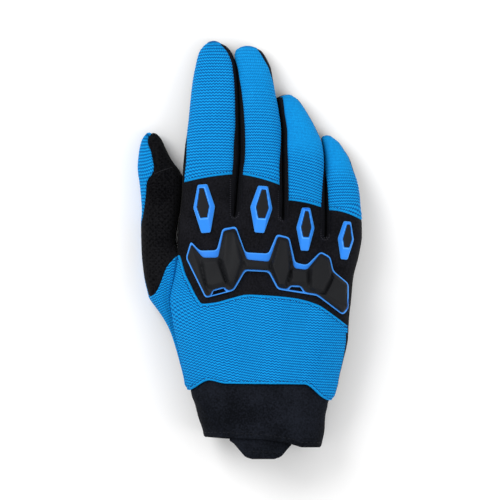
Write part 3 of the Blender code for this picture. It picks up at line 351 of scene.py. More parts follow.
# %% Tables
class Table:
    """Rows of numbers with named columns, read smoothly between the rows."""

    def __init__(self, columns, rows):
        values = np.array(rows, dtype=float).T
        self.at = values[0]
        self.columns = dict(zip(columns.split(), values))

    def read(self, name, at):
        x, y = self.at, self.columns[name]
        slopes = np.diff(y) / np.diff(x)
        before, after = slopes[:-1], slopes[1:]
        agree = before * after > 0.0
        middle = np.where(agree, 2.0 * before * after / np.where(agree, before + after, 1.0), 0.0)
        tangents = np.concatenate([slopes[:1], middle, slopes[-1:]])
        at = np.clip(at, x[0], x[-1])
        row = np.clip(np.searchsorted(x, at, side="right") - 1, 0, len(x) - 2)
        step = x[row + 1] - x[row]
        t = (at - x[row]) / step
        bend = y[row] + (y[row + 1] - y[row]) * (3.0 - 2.0 * t) * t * t
        start = t * (1.0 - t) ** 2 * tangents[row] * step
        return bend + start + t * t * (t - 1.0) * tangents[row + 1] * step


GIRTH_TABLE = Table(GIRTH_COLUMNS, GIRTH)
LANE_TABLE = Table(LANE_COLUMNS, LANE_ROWS)
BODY_TABLE = Table(BODY_COLUMNS, BODY_ROWS)
KNUCKLE_TABLE = Table("across ahead", KNUCKLE_EDGE)
WRIST_TABLE = Table("across ahead", WRIST_SEAM)
MOUTH_TABLE = Table("across behind", MOUTH_EDGE)
THUMB_TABLE = Table(THUMB_COLUMNS, THUMB_ROWS)
FADE_TABLE = Table("step fingers thumb", FADE_ROWS)
FINGER_TABLES = [Table(FINGER_COLUMNS, finger.rows) for finger in FINGERS]
print("index edge halfway along:", round(float(FINGER_TABLES[0].read("left", 0.5)), 3))

# %% [markdown]
# ## Sections
#
# A cross-section of a finger or of the hand is a rounded form between a left, a right, a low
# and a high edge. An angle says where a point lies on it: 0 is the side away from the thumb
# and 90 is the top.


# %% Section helpers
SPREAD_SAMPLES = 400
SPREAD_SIDE_WEIGHT = 0.5
FLANK_LIMIT = 0.995


def mix(low, high, share):
    return low + (high - low) * share


def spread(start, end, steps):
    """Angles from start to just before end, in steps that look nearly even from above."""
    fine = np.linspace(start, end, SPREAD_SAMPLES)
    across, up = section(fine)
    lengths = np.hypot(np.diff(across), SPREAD_SIDE_WEIGHT * np.diff(up))
    run = np.concatenate([[0.0], np.cumsum(lengths)])
    return np.interp(np.arange(steps) / steps * run[-1], run, fine)


def section(degrees):
    """A point of a rounded section with half sides of 1."""
    angle = np.radians(degrees)
    across, up = np.cos(angle), np.sin(angle)
    power = 2.0 / np.where(up >= 0.0, TOP_FULLNESS, UNDER_FULLNESS)
    return np.sign(across) * np.abs(across) ** power, np.sign(up) * np.abs(up) ** power


def body_edges(y):
    """The left, right, low and high edge of the hand or the cuff."""
    along = y / np.where(np.asarray(y) > 0.0, HAND_LENGTH, CUFF_LENGTH)
    left = -BODY_TABLE.read("left", along) * PALM_WIDTH
    right = BODY_TABLE.read("right", along) * PALM_WIDTH
    low = BODY_TABLE.read("low", along) * HAND_THICKNESS
    high = BODY_TABLE.read("high", along) * HAND_THICKNESS
    return left, right, low, high


def stacked(x, y, z):
    return np.stack(np.broadcast_arrays(x, y, z), axis=-1)


def body_point(degrees, y):
    """A point round the hand or the cuff."""
    left, right, low, high = body_edges(y)
    across, up = section(degrees)
    return stacked(mix(left, right, 0.5 + 0.5 * across), y, mix(low, high, 0.5 + 0.5 * up))


def body_angle(points, upper):
    """The angles on the hand's section that lie straight above or below some points."""
    left, right, _, _ = body_edges(points[:, 1])
    across = (2.0 * points[:, 0] - left - right) / (right - left)
    across = np.clip(across, -FLANK_LIMIT, FLANK_LIMIT)
    full = TOP_FULLNESS if upper else UNDER_FULLNESS
    angle = np.degrees(np.arccos(np.sign(across) * np.abs(across) ** (full / 2.0)))
    return angle if upper else 360.0 - angle


# %% Points of a finger and of the thumb
def crotch_x(lane):
    """The lane beside a finger at its root; lane 0 is the index finger's outer edge."""
    return sum(finger.width for finger in FINGERS[:lane]) - 0.5 * PALM_WIDTH


def lane_x(lane, y):
    if lane in (0, len(FINGERS)):
        return crotch_x(lane)
    name = LANE_COLUMNS.split()[lane]
    ahead = (y - HAND_LENGTH) / FINGERS[1].length
    return crotch_x(lane) + PALM_WIDTH * LANE_TABLE.read(name, ahead)


def finger_y(number, along, across):
    """A finger's root runs slanting from crotch to crotch, and its tip lies ahead of both."""
    near, far = [HAND_LENGTH * (1.0 + ahead) for ahead in CROTCH_AHEAD[number:number + 2]]
    return mix(mix(near, far, across), 0.5 * (near + far) + FINGERS[number].length, along)


def finger_point(number, along, degrees):
    """A point round a finger, along it from its root at 0 to its tip at 1."""
    finger, table = FINGERS[number], FINGER_TABLES[number]
    across, up = section(degrees)
    y = finger_y(number, along, 0.5 + 0.5 * across)
    left = lane_x(number, y) + 0.5 * FINGER_GAP + table.read("left", along) * finger.width
    right = lane_x(number + 1, y) - 0.5 * FINGER_GAP - table.read("right", along) * finger.width
    middle = GIRTH_TABLE.read("lift", along) * finger.height
    half = 0.5 * GIRTH_TABLE.read("thick", along) * finger.thickness
    return stacked(mix(left, right, 0.5 + 0.5 * across), y, middle + half * up)


def hem_along(number, across):
    """The hem's place along a finger, on a curve through its three given places."""
    left, middle, right = FINGERS[number].hem
    outer = left * (1 - across) * (1 - 2 * across) + right * across * (2 * across - 1)
    return outer + 4 * middle * across * (1 - across)


def thumb_point(along, degrees):
    """A point round the thumb, whose root is bowed to fit the hand."""
    across, up = section(degrees)
    share = 0.5 + 0.5 * across
    share = share - ROOT_BOW * np.sin(2.0 * math.pi * share)
    root = HAND_LENGTH * mix(THUMB_ROOT_AHEAD, WEB_AHEAD, share)
    left = crotch_x(0) + THUMB_TABLE.read("left", along) * THUMB_WIDTH
    right = crotch_x(0) + THUMB_TABLE.read("right", along) * THUMB_WIDTH
    middle = THUMB_TABLE.read("lift", along) * THUMB_THICKNESS
    half = 0.5 * THUMB_TABLE.read("thick", along) * THUMB_THICKNESS
    x = mix(left, right, 0.5 + 0.5 * across)
    return stacked(x, mix(root, THUMB_TIP, along), middle + half * up)


print("middle finger tip", np.round(finger_point(1, 1.0, 90.0) * 1000, 1))

# %% [markdown]
# ## One skin for the whole glove
#
# The panels share one skin of quads: rows run round the hand, columns run along it, and every
# seam lies on a row or a column. The ribbed cloth needs rows four to a rib, the plain cloth
# only one or so to a millimetre. So the skin is made twice, at two finenesses.
#
# Each point also keeps how many ribs lie between it and the hem. The ribs are raised from
# that number later, so they bend with the skin.

# %% Ribs
HAND_RIB_PITCH = 0.00146
FINGER_RIB_PITCH = 0.00160
ROWS_PER_RIB = 4
ZIGZAG = 0.46
FINGER_ARCH = 0.20
TIP_ARCH = 0.4
GUSSET_RISE = 0.50
HAND_FALL = (0.34, -0.0075, 0.023)
EDGE_FALL = (0.42, -0.036, 0.004)
EDGE_FALL_FROM = 0.040
EDGE_FALL_BLEND = 0.005


def fall(x, slope, limit, width):
    """How far a rib falls to the left of a limit, rounded off near it."""
    return slope * width * np.logaddexp(0.0, (limit - x) / width)


def hand_rib(points):
    """Number of ribs up to a point of the hand's back: level on the right, falling on the left."""
    x, y = points[:, 0], points[:, 1]
    near_edge = 1.0 / (1.0 + np.exp(-(y - EDGE_FALL_FROM) / EDGE_FALL_BLEND))
    return (y - fall(x, *HAND_FALL) - near_edge * fall(x, *EDGE_FALL)) / HAND_RIB_PITCH


def gusset_rib(points):
    """Beside the thumb the cloth is turned, so that its ribs rise towards the hand."""
    return (points[:, 1] - GUSSET_RISE * points[:, 0]) / HAND_RIB_PITCH


def zigzag(count):
    """Every second column is shifted, which bends each rib into a fine zigzag."""
    return ZIGZAG * (np.arange(count) % 2)


print("ribs on the hand and the fingers, apart in mm:", HAND_RIB_PITCH * 1000, FINGER_RIB_PITCH * 1000)


# %% The skin
def unit(rows):
    """The rows as directions of length 1."""
    return rows / np.maximum(np.linalg.norm(rows, axis=1, keepdims=True), 1e-12)


class Skin:
    """Points, quads and their panels. wide, side and upper are numbers of columns."""

    def __init__(self, wide, side, finger_row, hand_row, plain_row):
        self.wide, self.side, self.upper = wide, side, (wide + side) // 2
        self.finger_row, self.hand_row, self.plain_row = finger_row, hand_row, plain_row
        self.points, self.ribs, self.quads, self.names = [], [], [], []
        self.total = 0

    def add(self, points, ribs=0.0):
        points = np.asarray(points).reshape(-1, 3)
        self.points.append(points)
        self.ribs.append(np.broadcast_to(ribs, len(points)))
        self.total += len(points)
        return np.arange(self.total - len(points), self.total)

    def band(self, back, front, names):
        """Quads between two closed rings, the front one nearer the finger tips."""
        self.quads.append(np.stack([back, front, np.roll(front, -1), np.roll(back, -1)], axis=1))
        self.names += list(names)

    def cap(self, ring, points, ribs, start, tip_y, names):
        """Close a tip. The ring's back starts at the column start."""
        count, wide, side = len(ring), self.wide, self.side
        step = np.arange(wide + 1)
        back = (start + step) % count
        under = (start + wide + side + wide - step) % count
        bulge = 1.0 - (2.0 * step / wide - 1.0) ** 2
        rows = [ring[back]]
        for row in range(1, side):
            t = row / side
            inner = mix(points[back], points[under], t)
            inner[:, 1] = mix(inner[:, 1], tip_y, bulge * math.sqrt(1.0 - (2.0 * t - 1.0) ** 2))
            ahead = ribs[back] + math.sin(math.pi * t) * TIP_ARCH
            new = self.add(inner[1:-1], ahead[1:-1])
            ends = ring[(start - row) % count], ring[(start + wide + row) % count]
            rows.append(np.concatenate([ends[:1], new, ends[1:]]))
        rows.append(ring[under])
        for row in range(side):
            first, second = rows[row], rows[row + 1]
            self.quads.append(np.stack([first[:-1], second[:-1], second[1:], first[1:]], axis=1))
            self.names += [names[0] if row < side / 2 else names[1]] * wide

    def close(self):
        """Join what was gathered and find the outward direction at every point."""
        self.points, self.ribs = np.concatenate(self.points), np.concatenate(self.ribs)
        self.quads, self.names = np.concatenate(self.quads), np.array(self.names)
        a, b, c, d = (self.points[self.quads[:, corner]] for corner in range(4))
        out = unit(np.cross(c - a, d - b))
        total = np.zeros_like(self.points)
        for corner in range(4):
            np.add.at(total, self.quads[:, corner], out)
        self.out = unit(total)


# %% [markdown]
# Each finger is a stack of rings. Its root ring shares its side points with its neighbour's,
# so the crotch is closed, and the small shift that this takes fades out over a few rings. The
# rings first follow the hem's curve, then even out towards the tip, which is capped.

# %% Fingers of the skin
BLEND_PART = 6
ROOT_FADE = 2.2
fourchettes = [f"fourchette_{near.name}_{far.name}" for near, far in zip(FINGERS, FINGERS[1:])]
SIDE_NAMES = ["palm"] + fourchettes + ["palm"]
print("panels beside the fingers:", SIDE_NAMES)


def finger_row(skin, number, place):
    """Points round a finger. place gives how far along it they are, from how far across."""
    table = FINGER_TABLES[number]
    right, left = table.read("right_seam", place(0.5)), table.read("left_seam", place(0.5))
    degrees = np.concatenate([
        spread(right, left, skin.wide), spread(left, PALM_FROM_DEG, skin.side),
        spread(PALM_FROM_DEG, PALM_TO_DEG, skin.wide), spread(PALM_TO_DEG, right + 360.0, skin.side),
    ])
    return finger_point(number, place(0.5 + 0.5 * section(degrees)[0]), degrees)


def finger_roots(skin):
    """Root rings, where neighbours share their crotch, and how far each was moved for that."""
    rings = [finger_row(skin, number, lambda across: 0.0 * across) for number in range(len(FINGERS))]
    plain = [ring.copy() for ring in rings]
    share = np.arange(skin.side + 1)
    left, right = skin.wide + share, -share
    for near, far in zip(rings, rings[1:]):
        middle = 0.5 * (near[right] + far[left])
        near[right], far[left] = middle, middle
    reach = skin.wide // BLEND_PART
    under = skin.wide + skin.side
    for ring, own in zip(rings, plain):
        moved = ring - own
        for step in range(1, reach):
            for seam, way in ((0, 1), (skin.wide, -1), (under, 1), (-skin.side, -1)):
                ring[seam + way * step] += (1.0 - step / reach) * moved[seam]
    roots = []
    for number, ring in enumerate(rings):
        indices = skin.add(ring)
        if number:
            roots[-1][right] = indices[left]
        roots.append(indices)
    return roots, rings, [ring - own for ring, own in zip(rings, plain)]


def finger_places(skin, number):
    """For each ring of a finger: its panel, its place along the finger, and how far the root fades."""
    finger = FINGERS[number]
    middle = hem_along(number, 0.5)
    tongue = max(3, round(middle * finger.length / skin.plain_row))
    past = round((PAST_HEM - middle) * finger.length / skin.finger_row)
    rest = round((TIP_RING - PAST_HEM) * finger.length / skin.finger_row)
    for step in range(1, tongue + 1):
        yield "knuckle_panel", lambda a, t=step / tongue: hem_along(number, a) * t, step / tongue
    back = f"{finger.name}_finger_back"
    for step in range(1, past + 1):
        yield back, lambda a, t=step / past: mix(hem_along(number, a), PAST_HEM, t), 1.0
    for step in range(1, rest + 1):
        yield back, lambda a, t=step / rest: mix(PAST_HEM, TIP_RING, t) + 0.0 * a, 1.0


def build_fingers(skin, roots, moved):
    """The tongues of the knuckle panel, then the finger backs, sides and undersides."""
    for number in range(len(FINGERS)):
        left_side, right_side = [[name] * skin.side for name in SIDE_NAMES[number:number + 2]]
        ring, count = roots[number], 0
        for name, place, share in finger_places(skin, number):
            count += name != "knuckle_panel"
            fade = max(0.0, 1.0 - ROOT_FADE * share) ** 3
            points = finger_row(skin, number, place) + fade * moved[number]
            arch = FINGER_ARCH * (points[:, 2].max() - points[:, 2]) / FINGER_RIB_PITCH
            ribs = count / ROWS_PER_RIB + arch + zigzag(len(points))
            front = skin.add(points, ribs)
            skin.band(ring, front, [name] * skin.wide + left_side + ["palm"] * skin.wide + right_side)
            ring = front
        skin.cap(ring, points, ribs, 0, finger_y(number, 1.0, 0.5), (name, "palm"))


# %% [markdown]
# The hand goes on from the finger roots towards the cuff. Its section widens where the thumb
# joins: there the thumb's root ring is let into the hand's ring, so cloth and seams run on
# without a gap. What the roots differ from the plain section of the hand fades out row by row.

# %% Rows of the hand
WRAP_START = 0.02
WRAP_END = 0.50
KNUCKLE_REACH = 0.45
BACK_REACH = 0.72


def seam_y(table, column, length, degrees):
    """Where the hand's columns at these angles cross a seam that is drawn from above."""
    y = np.full(len(degrees), 0.5 * length)
    for _ in range(12):
        y = length * table.read(column, body_point(degrees, y)[:, 0] / PALM_WIDTH)
    return y


def seam_row(skin, angles, top, lobe, palm, table, column, length):
    """The seam's y for each column: crossed on the top, level round the sides and below."""
    over = seam_y(table, column, length, angles[:top])
    under = np.linspace(over[-1], over[0], palm)
    return np.concatenate([over, np.full(lobe, over[-1]), under, np.full(skin.side - 1, over[0])])


def thumb_row(skin, along):
    """Points round the thumb: seam to seam, and the web beside the hand."""
    names = ("inner_seam", "upper_seam", "lower_seam")
    inner, upper, lower = (THUMB_TABLE.read(name, along) for name in names)
    web = 360.0 - THUMB_INNER_DEG
    degrees = np.concatenate([
        spread(inner, upper, skin.upper), spread(upper, lower, skin.wide),
        spread(lower, web, skin.upper), spread(web, 360.0 + inner, skin.side),
    ])
    return thumb_point(along, degrees)


def build_rows(skin, ring, start_y, end_y, angles, swell, fades, names, rib_at=None, lean=0.0):
    """Rows from one seam of the hand to the next one nearer the cuff."""
    for step, fade in enumerate(fades, 1):
        share = step / len(fades)
        wrap = min(1.0, share / WRAP_START) * max(0.0, 1.0 - share / WRAP_END)
        row = body_point(angles + wrap * lean, mix(start_y, end_y, share)) + fade * swell
        back = skin.add(row, rib_at(row) if rib_at else 0.0)
        skin.band(back, ring, names)
        ring = back
    return ring, row


def hand_ring(skin, parts):
    """The finger roots' ring: over the top from the little finger, then below from the index."""
    first, last = skin.wide + skin.side, 2 * skin.wide + skin.side
    top = np.concatenate([parts[3][:1]] + [parts[n][1:skin.wide + 1] for n in (3, 2, 1, 0)])
    palm = np.concatenate([parts[0][first:first + 1]] + [parts[n][first + 1:last + 1] for n in range(4)])
    return top, palm, np.concatenate([top, parts[0][skin.wide + 1:first], palm, parts[-1][last + 1:]])


def hand_angles(skin, over, below):
    """The angles of the columns over the top, down the thumb side, below, and up the far side."""
    reach = skin.wide // BLEND_PART
    top = body_angle(over, True)
    top[:reach] = np.linspace(FLANK_END_DEG, top[reach], reach, endpoint=False)
    top[-reach:] = np.linspace(180.0 - FLANK_END_DEG, top[-reach - 1], reach, endpoint=False)[::-1]
    under = body_angle(below, False)
    left = spread(top[-1], under[0], skin.side)[1:]
    return top, left, under, spread(under[-1], 360.0 + top[0], skin.side)[1:]


def thumb_opening(skin, web):
    """The thumb's root ring, moved to meet the hand along its web, and how far it moved."""
    plain = thumb_row(skin, 0.0)
    moved = np.zeros_like(plain)
    tail = len(plain) - skin.side
    moved[0] = web[0] - plain[0]
    moved[tail:] = web[::-1][:-1] - plain[tail:]
    reach = max(1, skin.upper // 4)
    for step in range(1, reach):
        fade = 1.0 - step / reach
        moved[step] += fade * moved[0]
        moved[tail - step] += fade * moved[tail]
    return plain + moved, moved


# %% Hand and cuff of the skin
def build_knuckles(skin, roots, rings):
    """From the finger roots to the edge of the knuckle panel."""
    top, palm, ring = hand_ring(skin, roots)
    over, below, points = hand_ring(skin, rings)
    angles = hand_angles(skin, over, below)
    sizes = (len(top), skin.side - 1, len(palm))
    columns = np.concatenate(angles)
    edge_y = seam_row(skin, columns, *sizes, KNUCKLE_TABLE, "ahead", HAND_LENGTH)
    steps = max(4, round(KNUCKLE_REACH * HAND_LENGTH / skin.plain_row))
    fades = FADE_TABLE.read("fingers", np.arange(1, steps + 1) / steps)
    swell = points - body_point(columns, points[:, 1])
    names = ["knuckle_panel"] * (len(top) - 1) + ["palm"] * (len(ring) - len(top) + 1)
    ring, points = build_rows(skin, ring, points[:, 1], edge_y, columns, swell, fades, names)
    return ring, points, angles


def build_hand(skin, roots, rings):
    """The hand and the cuff. Gives the thumb's root ring, its shift and its ribs."""
    ring, points, (top, _, under, right) = build_knuckles(skin, roots, rings)
    corner, beyond = len(top) - 1, len(top) - 1 + skin.side
    opening, moved = thumb_opening(skin, points[corner:beyond + 1])
    lobe_points = opening[1:len(opening) - skin.side]
    lobe = skin.add(lobe_points, gusset_rib(lobe_points))
    thumb_root = np.concatenate([ring[corner:corner + 1], lobe, ring[corner:beyond + 1][::-1][:-1]])
    root_ribs = gusset_rib(opening) + zigzag(len(opening))

    ring = np.concatenate([ring[:corner + 1], lobe, ring[beyond:]])
    points = np.concatenate([points[:corner + 1], lobe_points, points[beyond:]])
    lobe_angles = np.linspace(top[-1], under[0], len(lobe) + 2)[1:-1]
    columns = np.concatenate([top, lobe_angles, under, right])
    sizes = (len(top), len(lobe), len(under))
    gusset = slice(len(top), len(top) + len(lobe))
    names = ["hand_back"] * (len(top) - 1) + ["thumb_back"] * (skin.upper + skin.wide)
    names += ["palm"] * (len(ring) - len(names))

    def rib_at(row):
        ribs = hand_rib(row)
        ribs[gusset] = gusset_rib(row[gusset])
        return ribs + zigzag(len(ribs))

    # The black side strip wraps further round near the knuckles, so the columns lean there
    reach = skin.wide // BLEND_PART
    lean = np.zeros(len(columns))
    lean[:reach] = SIDE_WRAP_DEG * (1.0 - np.arange(reach) / reach)
    lean[1 - skin.side:] = SIDE_WRAP_DEG * np.arange(1, skin.side) / skin.side

    wrist_y = seam_row(skin, columns, *sizes, WRIST_TABLE, "ahead", HAND_LENGTH)
    steps = round(BACK_REACH * HAND_LENGTH / skin.hand_row)
    fades = FADE_TABLE.read("thumb", np.arange(1, steps + 1) / steps)
    swell = points - body_point(columns, points[:, 1])
    ring, _ = build_rows(skin, ring, points[:, 1], wrist_y, columns, swell, fades, names, rib_at, lean)
    mouth_y = -seam_row(skin, columns, *sizes, MOUTH_TABLE, "behind", CUFF_LENGTH)
    steps = max(4, round(CUFF_LENGTH / skin.plain_row))
    build_rows(skin, ring, wrist_y, mouth_y, columns, 0.0, np.ones(steps), ["cuff"] * len(ring))
    return thumb_root, moved, root_ribs


# %% Thumb of the skin
THUMB_BLEND = 0.10
THUMB_RIBS_EVEN = 0.35


def build_thumb(skin, ring, moved, root_ribs):
    """The thumb, whose ribs turn from the gusset's slant to level rings."""
    names = ["thumb_palm"] * skin.upper + ["thumb_back"] * skin.wide + ["thumb_palm"] * skin.upper
    even = root_ribs.mean() + zigzag(len(root_ribs))
    rows = round(TIP_RING * THUMB_LENGTH / skin.finger_row)
    for step in range(1, rows + 1):
        along = TIP_RING * step / rows
        points = thumb_row(skin, along) + max(0.0, 1.0 - along / THUMB_BLEND) * moved
        ribs = step / ROWS_PER_RIB + mix(root_ribs, even, min(1.0, along / THUMB_RIBS_EVEN))
        front = skin.add(points, ribs)
        side = "palm" if along < THUMB_BLEND else "thumb_palm"
        skin.band(ring, front, names + [side] * skin.side)
        ring = front
    skin.cap(ring, points, ribs, skin.upper, THUMB_TIP, ("thumb_back", "thumb_palm"))


def build_skin(**sizes):
    """The whole glove at one fineness."""
    skin = Skin(**sizes)
    roots, rings, moved = finger_roots(skin)
    build_fingers(skin, roots, moved)
    build_thumb(skin, *build_hand(skin, roots, rings))
    skin.close()
    return skin


ribbed_skin = build_skin(wide=32, side=6, finger_row=FINGER_RIB_PITCH / ROWS_PER_RIB,
                         hand_row=HAND_RIB_PITCH / ROWS_PER_RIB, plain_row=0.006)
plain_skin = build_skin(wide=24, side=6, finger_row=0.0012, hand_row=0.0012, plain_row=0.0010)
print("ribbed skin", len(ribbed_skin.quads), "quads, plain skin", len(plain_skin.quads), "quads")

# %% [markdown]
# ## Into the frame
#
# The tables start at the middle of the wrist seam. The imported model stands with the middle
# of its base at the origin, so the skin is moved by what its own hand back differs from the
# packed one.

# %% Move the skin
def skin_box(name):
    """The corners of a panel's box in the ribbed skin."""
    own = ribbed_skin.points[np.unique(ribbed_skin.quads[ribbed_skin.names == name])]
    return np.array([own.min(axis=0), own.max(axis=0)])


offset = np.mean(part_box("hand_back"), axis=0) - skin_box("hand_back").mean(axis=0)
offset[2] = -plain_skin.points[:, 2].min()
for skin in (ribbed_skin, plain_skin):
    skin.points = skin.points + offset
print("moved by", np.round(offset * 1000, 2), "mm")

# %% [markdown]
# ## Slack in the cloth
#
# An empty glove is never perfectly smooth. Slow waves a few tenths of a millimetre high run
# over the whole skin, so that light plays over it, and the cuff keeps two pressed folds.


# %% Slack
SLACK_HEIGHT = 0.0005
SLACK_WAVES = ((55.0, 1.0), (120.0, 0.5))
FLOOR_CLEARANCE = 0.0001


def facing_up(heights, start, width):
    """0 below start, and 1 where the surface looks up by more than start + width."""
    return np.clip((heights - start) / width, 0.0, 1.0)


def slack(skin):
    waves = np.array([
        sum(share * noise.noise(Vector(point) * scale) for scale, share in SLACK_WAVES)
        for point in skin.points
    ])
    # Sides that touch a neighbour stay straight, so no gap opens between the fingers
    level = facing_up(np.abs(skin.out[:, 2]), 0.1, 0.4)
    skin.points = skin.points + (SLACK_HEIGHT * waves * level)[:, None] * skin.out
    skin.points[:, 2] = np.maximum(skin.points[:, 2], FLOOR_CLEARANCE)


def crease(skin, start, end, width, depth):
    """A fold pressed into the upper side along a line on the plan."""
    start, run = np.array(start), np.array(end) - np.array(start)
    away = skin.points[:, :2] - start
    share = np.clip(away @ run / (run @ run), 0.0, 1.0)
    aside = (away[:, 0] * run[1] - away[:, 1] * run[0]) / np.linalg.norm(run)
    past = np.linalg.norm(away - share[:, None] * run, axis=1)
    shape = np.exp(-(past / width) ** 2) * np.tanh(aside / (0.5 * width))
    upper = facing_up(skin.out[:, 2], 0.1, 0.3)
    skin.points = skin.points + (depth * shape * upper)[:, None] * skin.out


CREASES = [
    ((-0.0272, -0.0820), (-0.0150, -0.1020), 0.0016, 0.0007),
    ((0.0425, -0.0860), (0.0415, -0.1060), 0.0014, 0.0004),
]
for skin in (ribbed_skin, plain_skin):
    slack(skin)
for fold in CREASES:
    crease(plain_skin, *fold)
print("slack and", len(CREASES), "creases in the cuff")

# %% [markdown]
# ## A panel as a sheet
#
# A panel is taken out of the skin with the facts that its finish needs: its border, how far
# each point lies from the border, and how far from the hem where two cloths overlap.


# %% Take a panel
FAR_AWAY = 1.0


def all_sides(faces):
    """Every side of every face, as two point numbers in the face's own direction."""
    return np.stack([faces, np.roll(faces, -1, axis=1)], axis=2).reshape(-1, 2)


def open_sides(faces):
    """The sides that no second face shares."""
    sides = all_sides(faces)
    size = sides.max() + 1
    return sides[~np.isin(sides[:, 0] * size + sides[:, 1], sides[:, 1] * size + sides[:, 0])]


class Sheet:
    """One panel's part of the skin."""

    def __init__(self, skin, name, hem_with=()):
        chosen = skin.names == name
        used, corners = np.unique(skin.quads[chosen], return_inverse=True)
        self.name = name
        self.quads = corners.reshape(-1, 4)
        self.points, self.out, self.rib = skin.points[used], skin.out[used], skin.ribs[used]
        self.border = open_sides(self.quads)
        self.owner = self.neighbours(skin, used, chosen)
        self.edge = self.distance(self.border)
        self.calm = np.zeros(len(self.points))
        hem = self.border[np.isin(self.owner, hem_with)]
        self.hem = self.distance(hem) if len(hem) else np.full(len(used), FAR_AWAY)

    def neighbours(self, skin, used, chosen):
        """The panel on the other side of each border edge."""
        names = np.repeat(skin.names[~chosen], 4)
        lookup = dict(zip(map(tuple, all_sides(skin.quads[~chosen]).tolist()), names))
        return np.array([lookup.get((used[b], used[a]), "open") for a, b in self.border])

    def distance(self, edges):
        tree = KDTree(2 * len(edges))
        for number, (a, b) in enumerate(edges):
            tree.insert(self.points[a], 2 * number)
            tree.insert(0.5 * (self.points[a] + self.points[b]), 2 * number + 1)
        tree.balance()
        return np.array([tree.find(point)[2] for point in self.points])

    def lines(self, owner):
        """The border with one neighbour, as runs of point numbers."""
        following = {a: b for (a, b), other in zip(self.border.tolist(), self.owner) if other == owner}
        starts = [a for a in following if a not in following.values()] or list(following)[:1]
        runs = []
        for start in starts:
            run = [start]
            while run[-1] in following and len(run) <= len(following):
                run.append(following[run[-1]])
            runs.append(run)
        return runs


print("index border", len(Sheet(ribbed_skin, "index_finger_back").border), "edges")

# %% [markdown]
# ## Raised ribs, turned hems and sunk seams
#
# Geometry Nodes push each point of a sheet along its outward direction. Four heights add up:
# the rib's round back, the turned hem that lies over its neighbour, the groove where the
# thread pulls the hem down, and the roll towards the seam at the border. All sizes are inputs
# of the tree, so one tree serves every cloth. Every tree here starts and ends in the same
# way, which two helpers take over.


# %% Start and end of a node tree
def open_tree(name, sizes):
    """A tree that takes and gives geometry, with its sizes and a finish as named inputs."""
    tree = bpy.data.node_groups.new(name, "GeometryNodeTree")
    for way in ("INPUT", "OUTPUT"):
        tree.interface.new_socket("Geometry", in_out=way, socket_type="NodeSocketGeometry")
    for size, value in sizes.items():
        socket = tree.interface.new_socket(size, in_out="INPUT", socket_type="NodeSocketFloat")
        socket.default_value = value
    tree.interface.new_socket("Finish", in_out="INPUT", socket_type="NodeSocketMaterial")
    return tree, add_node(tree, "NodeGroupInput").outputs


def close_tree(tree, given, geometry):
    """Turn copies into plain geometry and give it the finish."""
    plain = add_node(tree, "GeometryNodeRealizeInstances", {"Geometry": geometry}).outputs[0]
    dressed = add_node(tree, "GeometryNodeSetMaterial", {"Geometry": plain, "Material": given["Finish"]})
    add_node(tree, "NodeGroupOutput", {0: dressed.outputs[0]})
    return tree


def named(tree, name, kind="FLOAT"):
    """The values that each point of the geometry carries under a name."""
    node = add_node(tree, "GeometryNodeInputNamedAttribute", {"Name": name}, data_type=kind)
    return node.outputs["Attribute"]


# %% The relief tree
RELIEF_SIZES = {
    "Rib Height": 0.0, "Hem Height": 0.0, "Hem Width": 0.006, "Stitch Depth": 0.0, "Stitch Line": 0.0017,
    "Roll": 0.0004, "Roll Width": 0.0008,
}
STITCH_GROOVE = 0.0004


def relief_tree():
    """Geometry Nodes that raise the cloth's relief."""
    tree, given = open_tree("cloth_relief", RELIEF_SIZES)
    rib, hem, edge = named(tree, "rib"), named(tree, "hem"), named(tree, "edge")
    calc = partial(math_node, tree)

    def bell(value):
        """1 at a value of 0, falling away on both sides."""
        return calc("EXPONENT", calc("MULTIPLY", calc("POWER", value, 2.0), -1.0))

    back = calc("SINE", calc("MULTIPLY", calc("FRACT", rib), math.pi))
    round_back = calc("MULTIPLY", back, given["Rib Height"])
    # The ribs flatten where the cloth is turned under, and where it is smooth over a fingertip
    flat = ramp(tree, hem, 0.0004, 0.0014, 0.35, 1.0)
    rough = calc("SUBTRACT", 1.0, named(tree, "calm"))
    ribs = calc("MULTIPLY", calc("MULTIPLY", round_back, flat), rough)

    turned = calc("MULTIPLY", bell(calc("DIVIDE", hem, given["Hem Width"])), given["Hem Height"])
    off_line = calc("DIVIDE", calc("SUBTRACT", hem, given["Stitch Line"]), STITCH_GROOVE)
    pulled = calc("MULTIPLY", bell(off_line), given["Stitch Depth"])

    inward = calc("SUBTRACT", 1.0, calc("DIVIDE", edge, given["Roll Width"]))
    inward = calc("MAXIMUM", inward, 0.0)
    arc = calc("SQRT", calc("SUBTRACT", 1.0, calc("POWER", inward, 2.0)))
    rolled = calc("MULTIPLY", calc("SUBTRACT", 1.0, arc), given["Roll"])

    height = calc("SUBTRACT", calc("ADD", ribs, turned), calc("ADD", pulled, rolled))
    push = {0: named(tree, "out", "FLOAT_VECTOR"), "Scale": height}
    push = add_node(tree, "ShaderNodeVectorMath", push, operation="SCALE").outputs[0]
    moved = add_node(tree, "GeometryNodeSetPosition", {"Geometry": given["Geometry"], "Offset": push})
    return close_tree(tree, given, moved.outputs[0])


RELIEF = relief_tree()
print("relief inputs:", list(RELIEF_SIZES))


# %% Run a tree
def evaluated(source):
    """The mesh of an object after its modifiers, as a plain mesh. The object goes."""
    graph = bpy.context.evaluated_depsgraph_get()
    graph.update()
    result = bpy.data.meshes.new_from_object(source.evaluated_get(graph), depsgraph=graph)
    source.modifiers.clear()
    bpy.data.objects.remove(source, do_unlink=True)
    return result


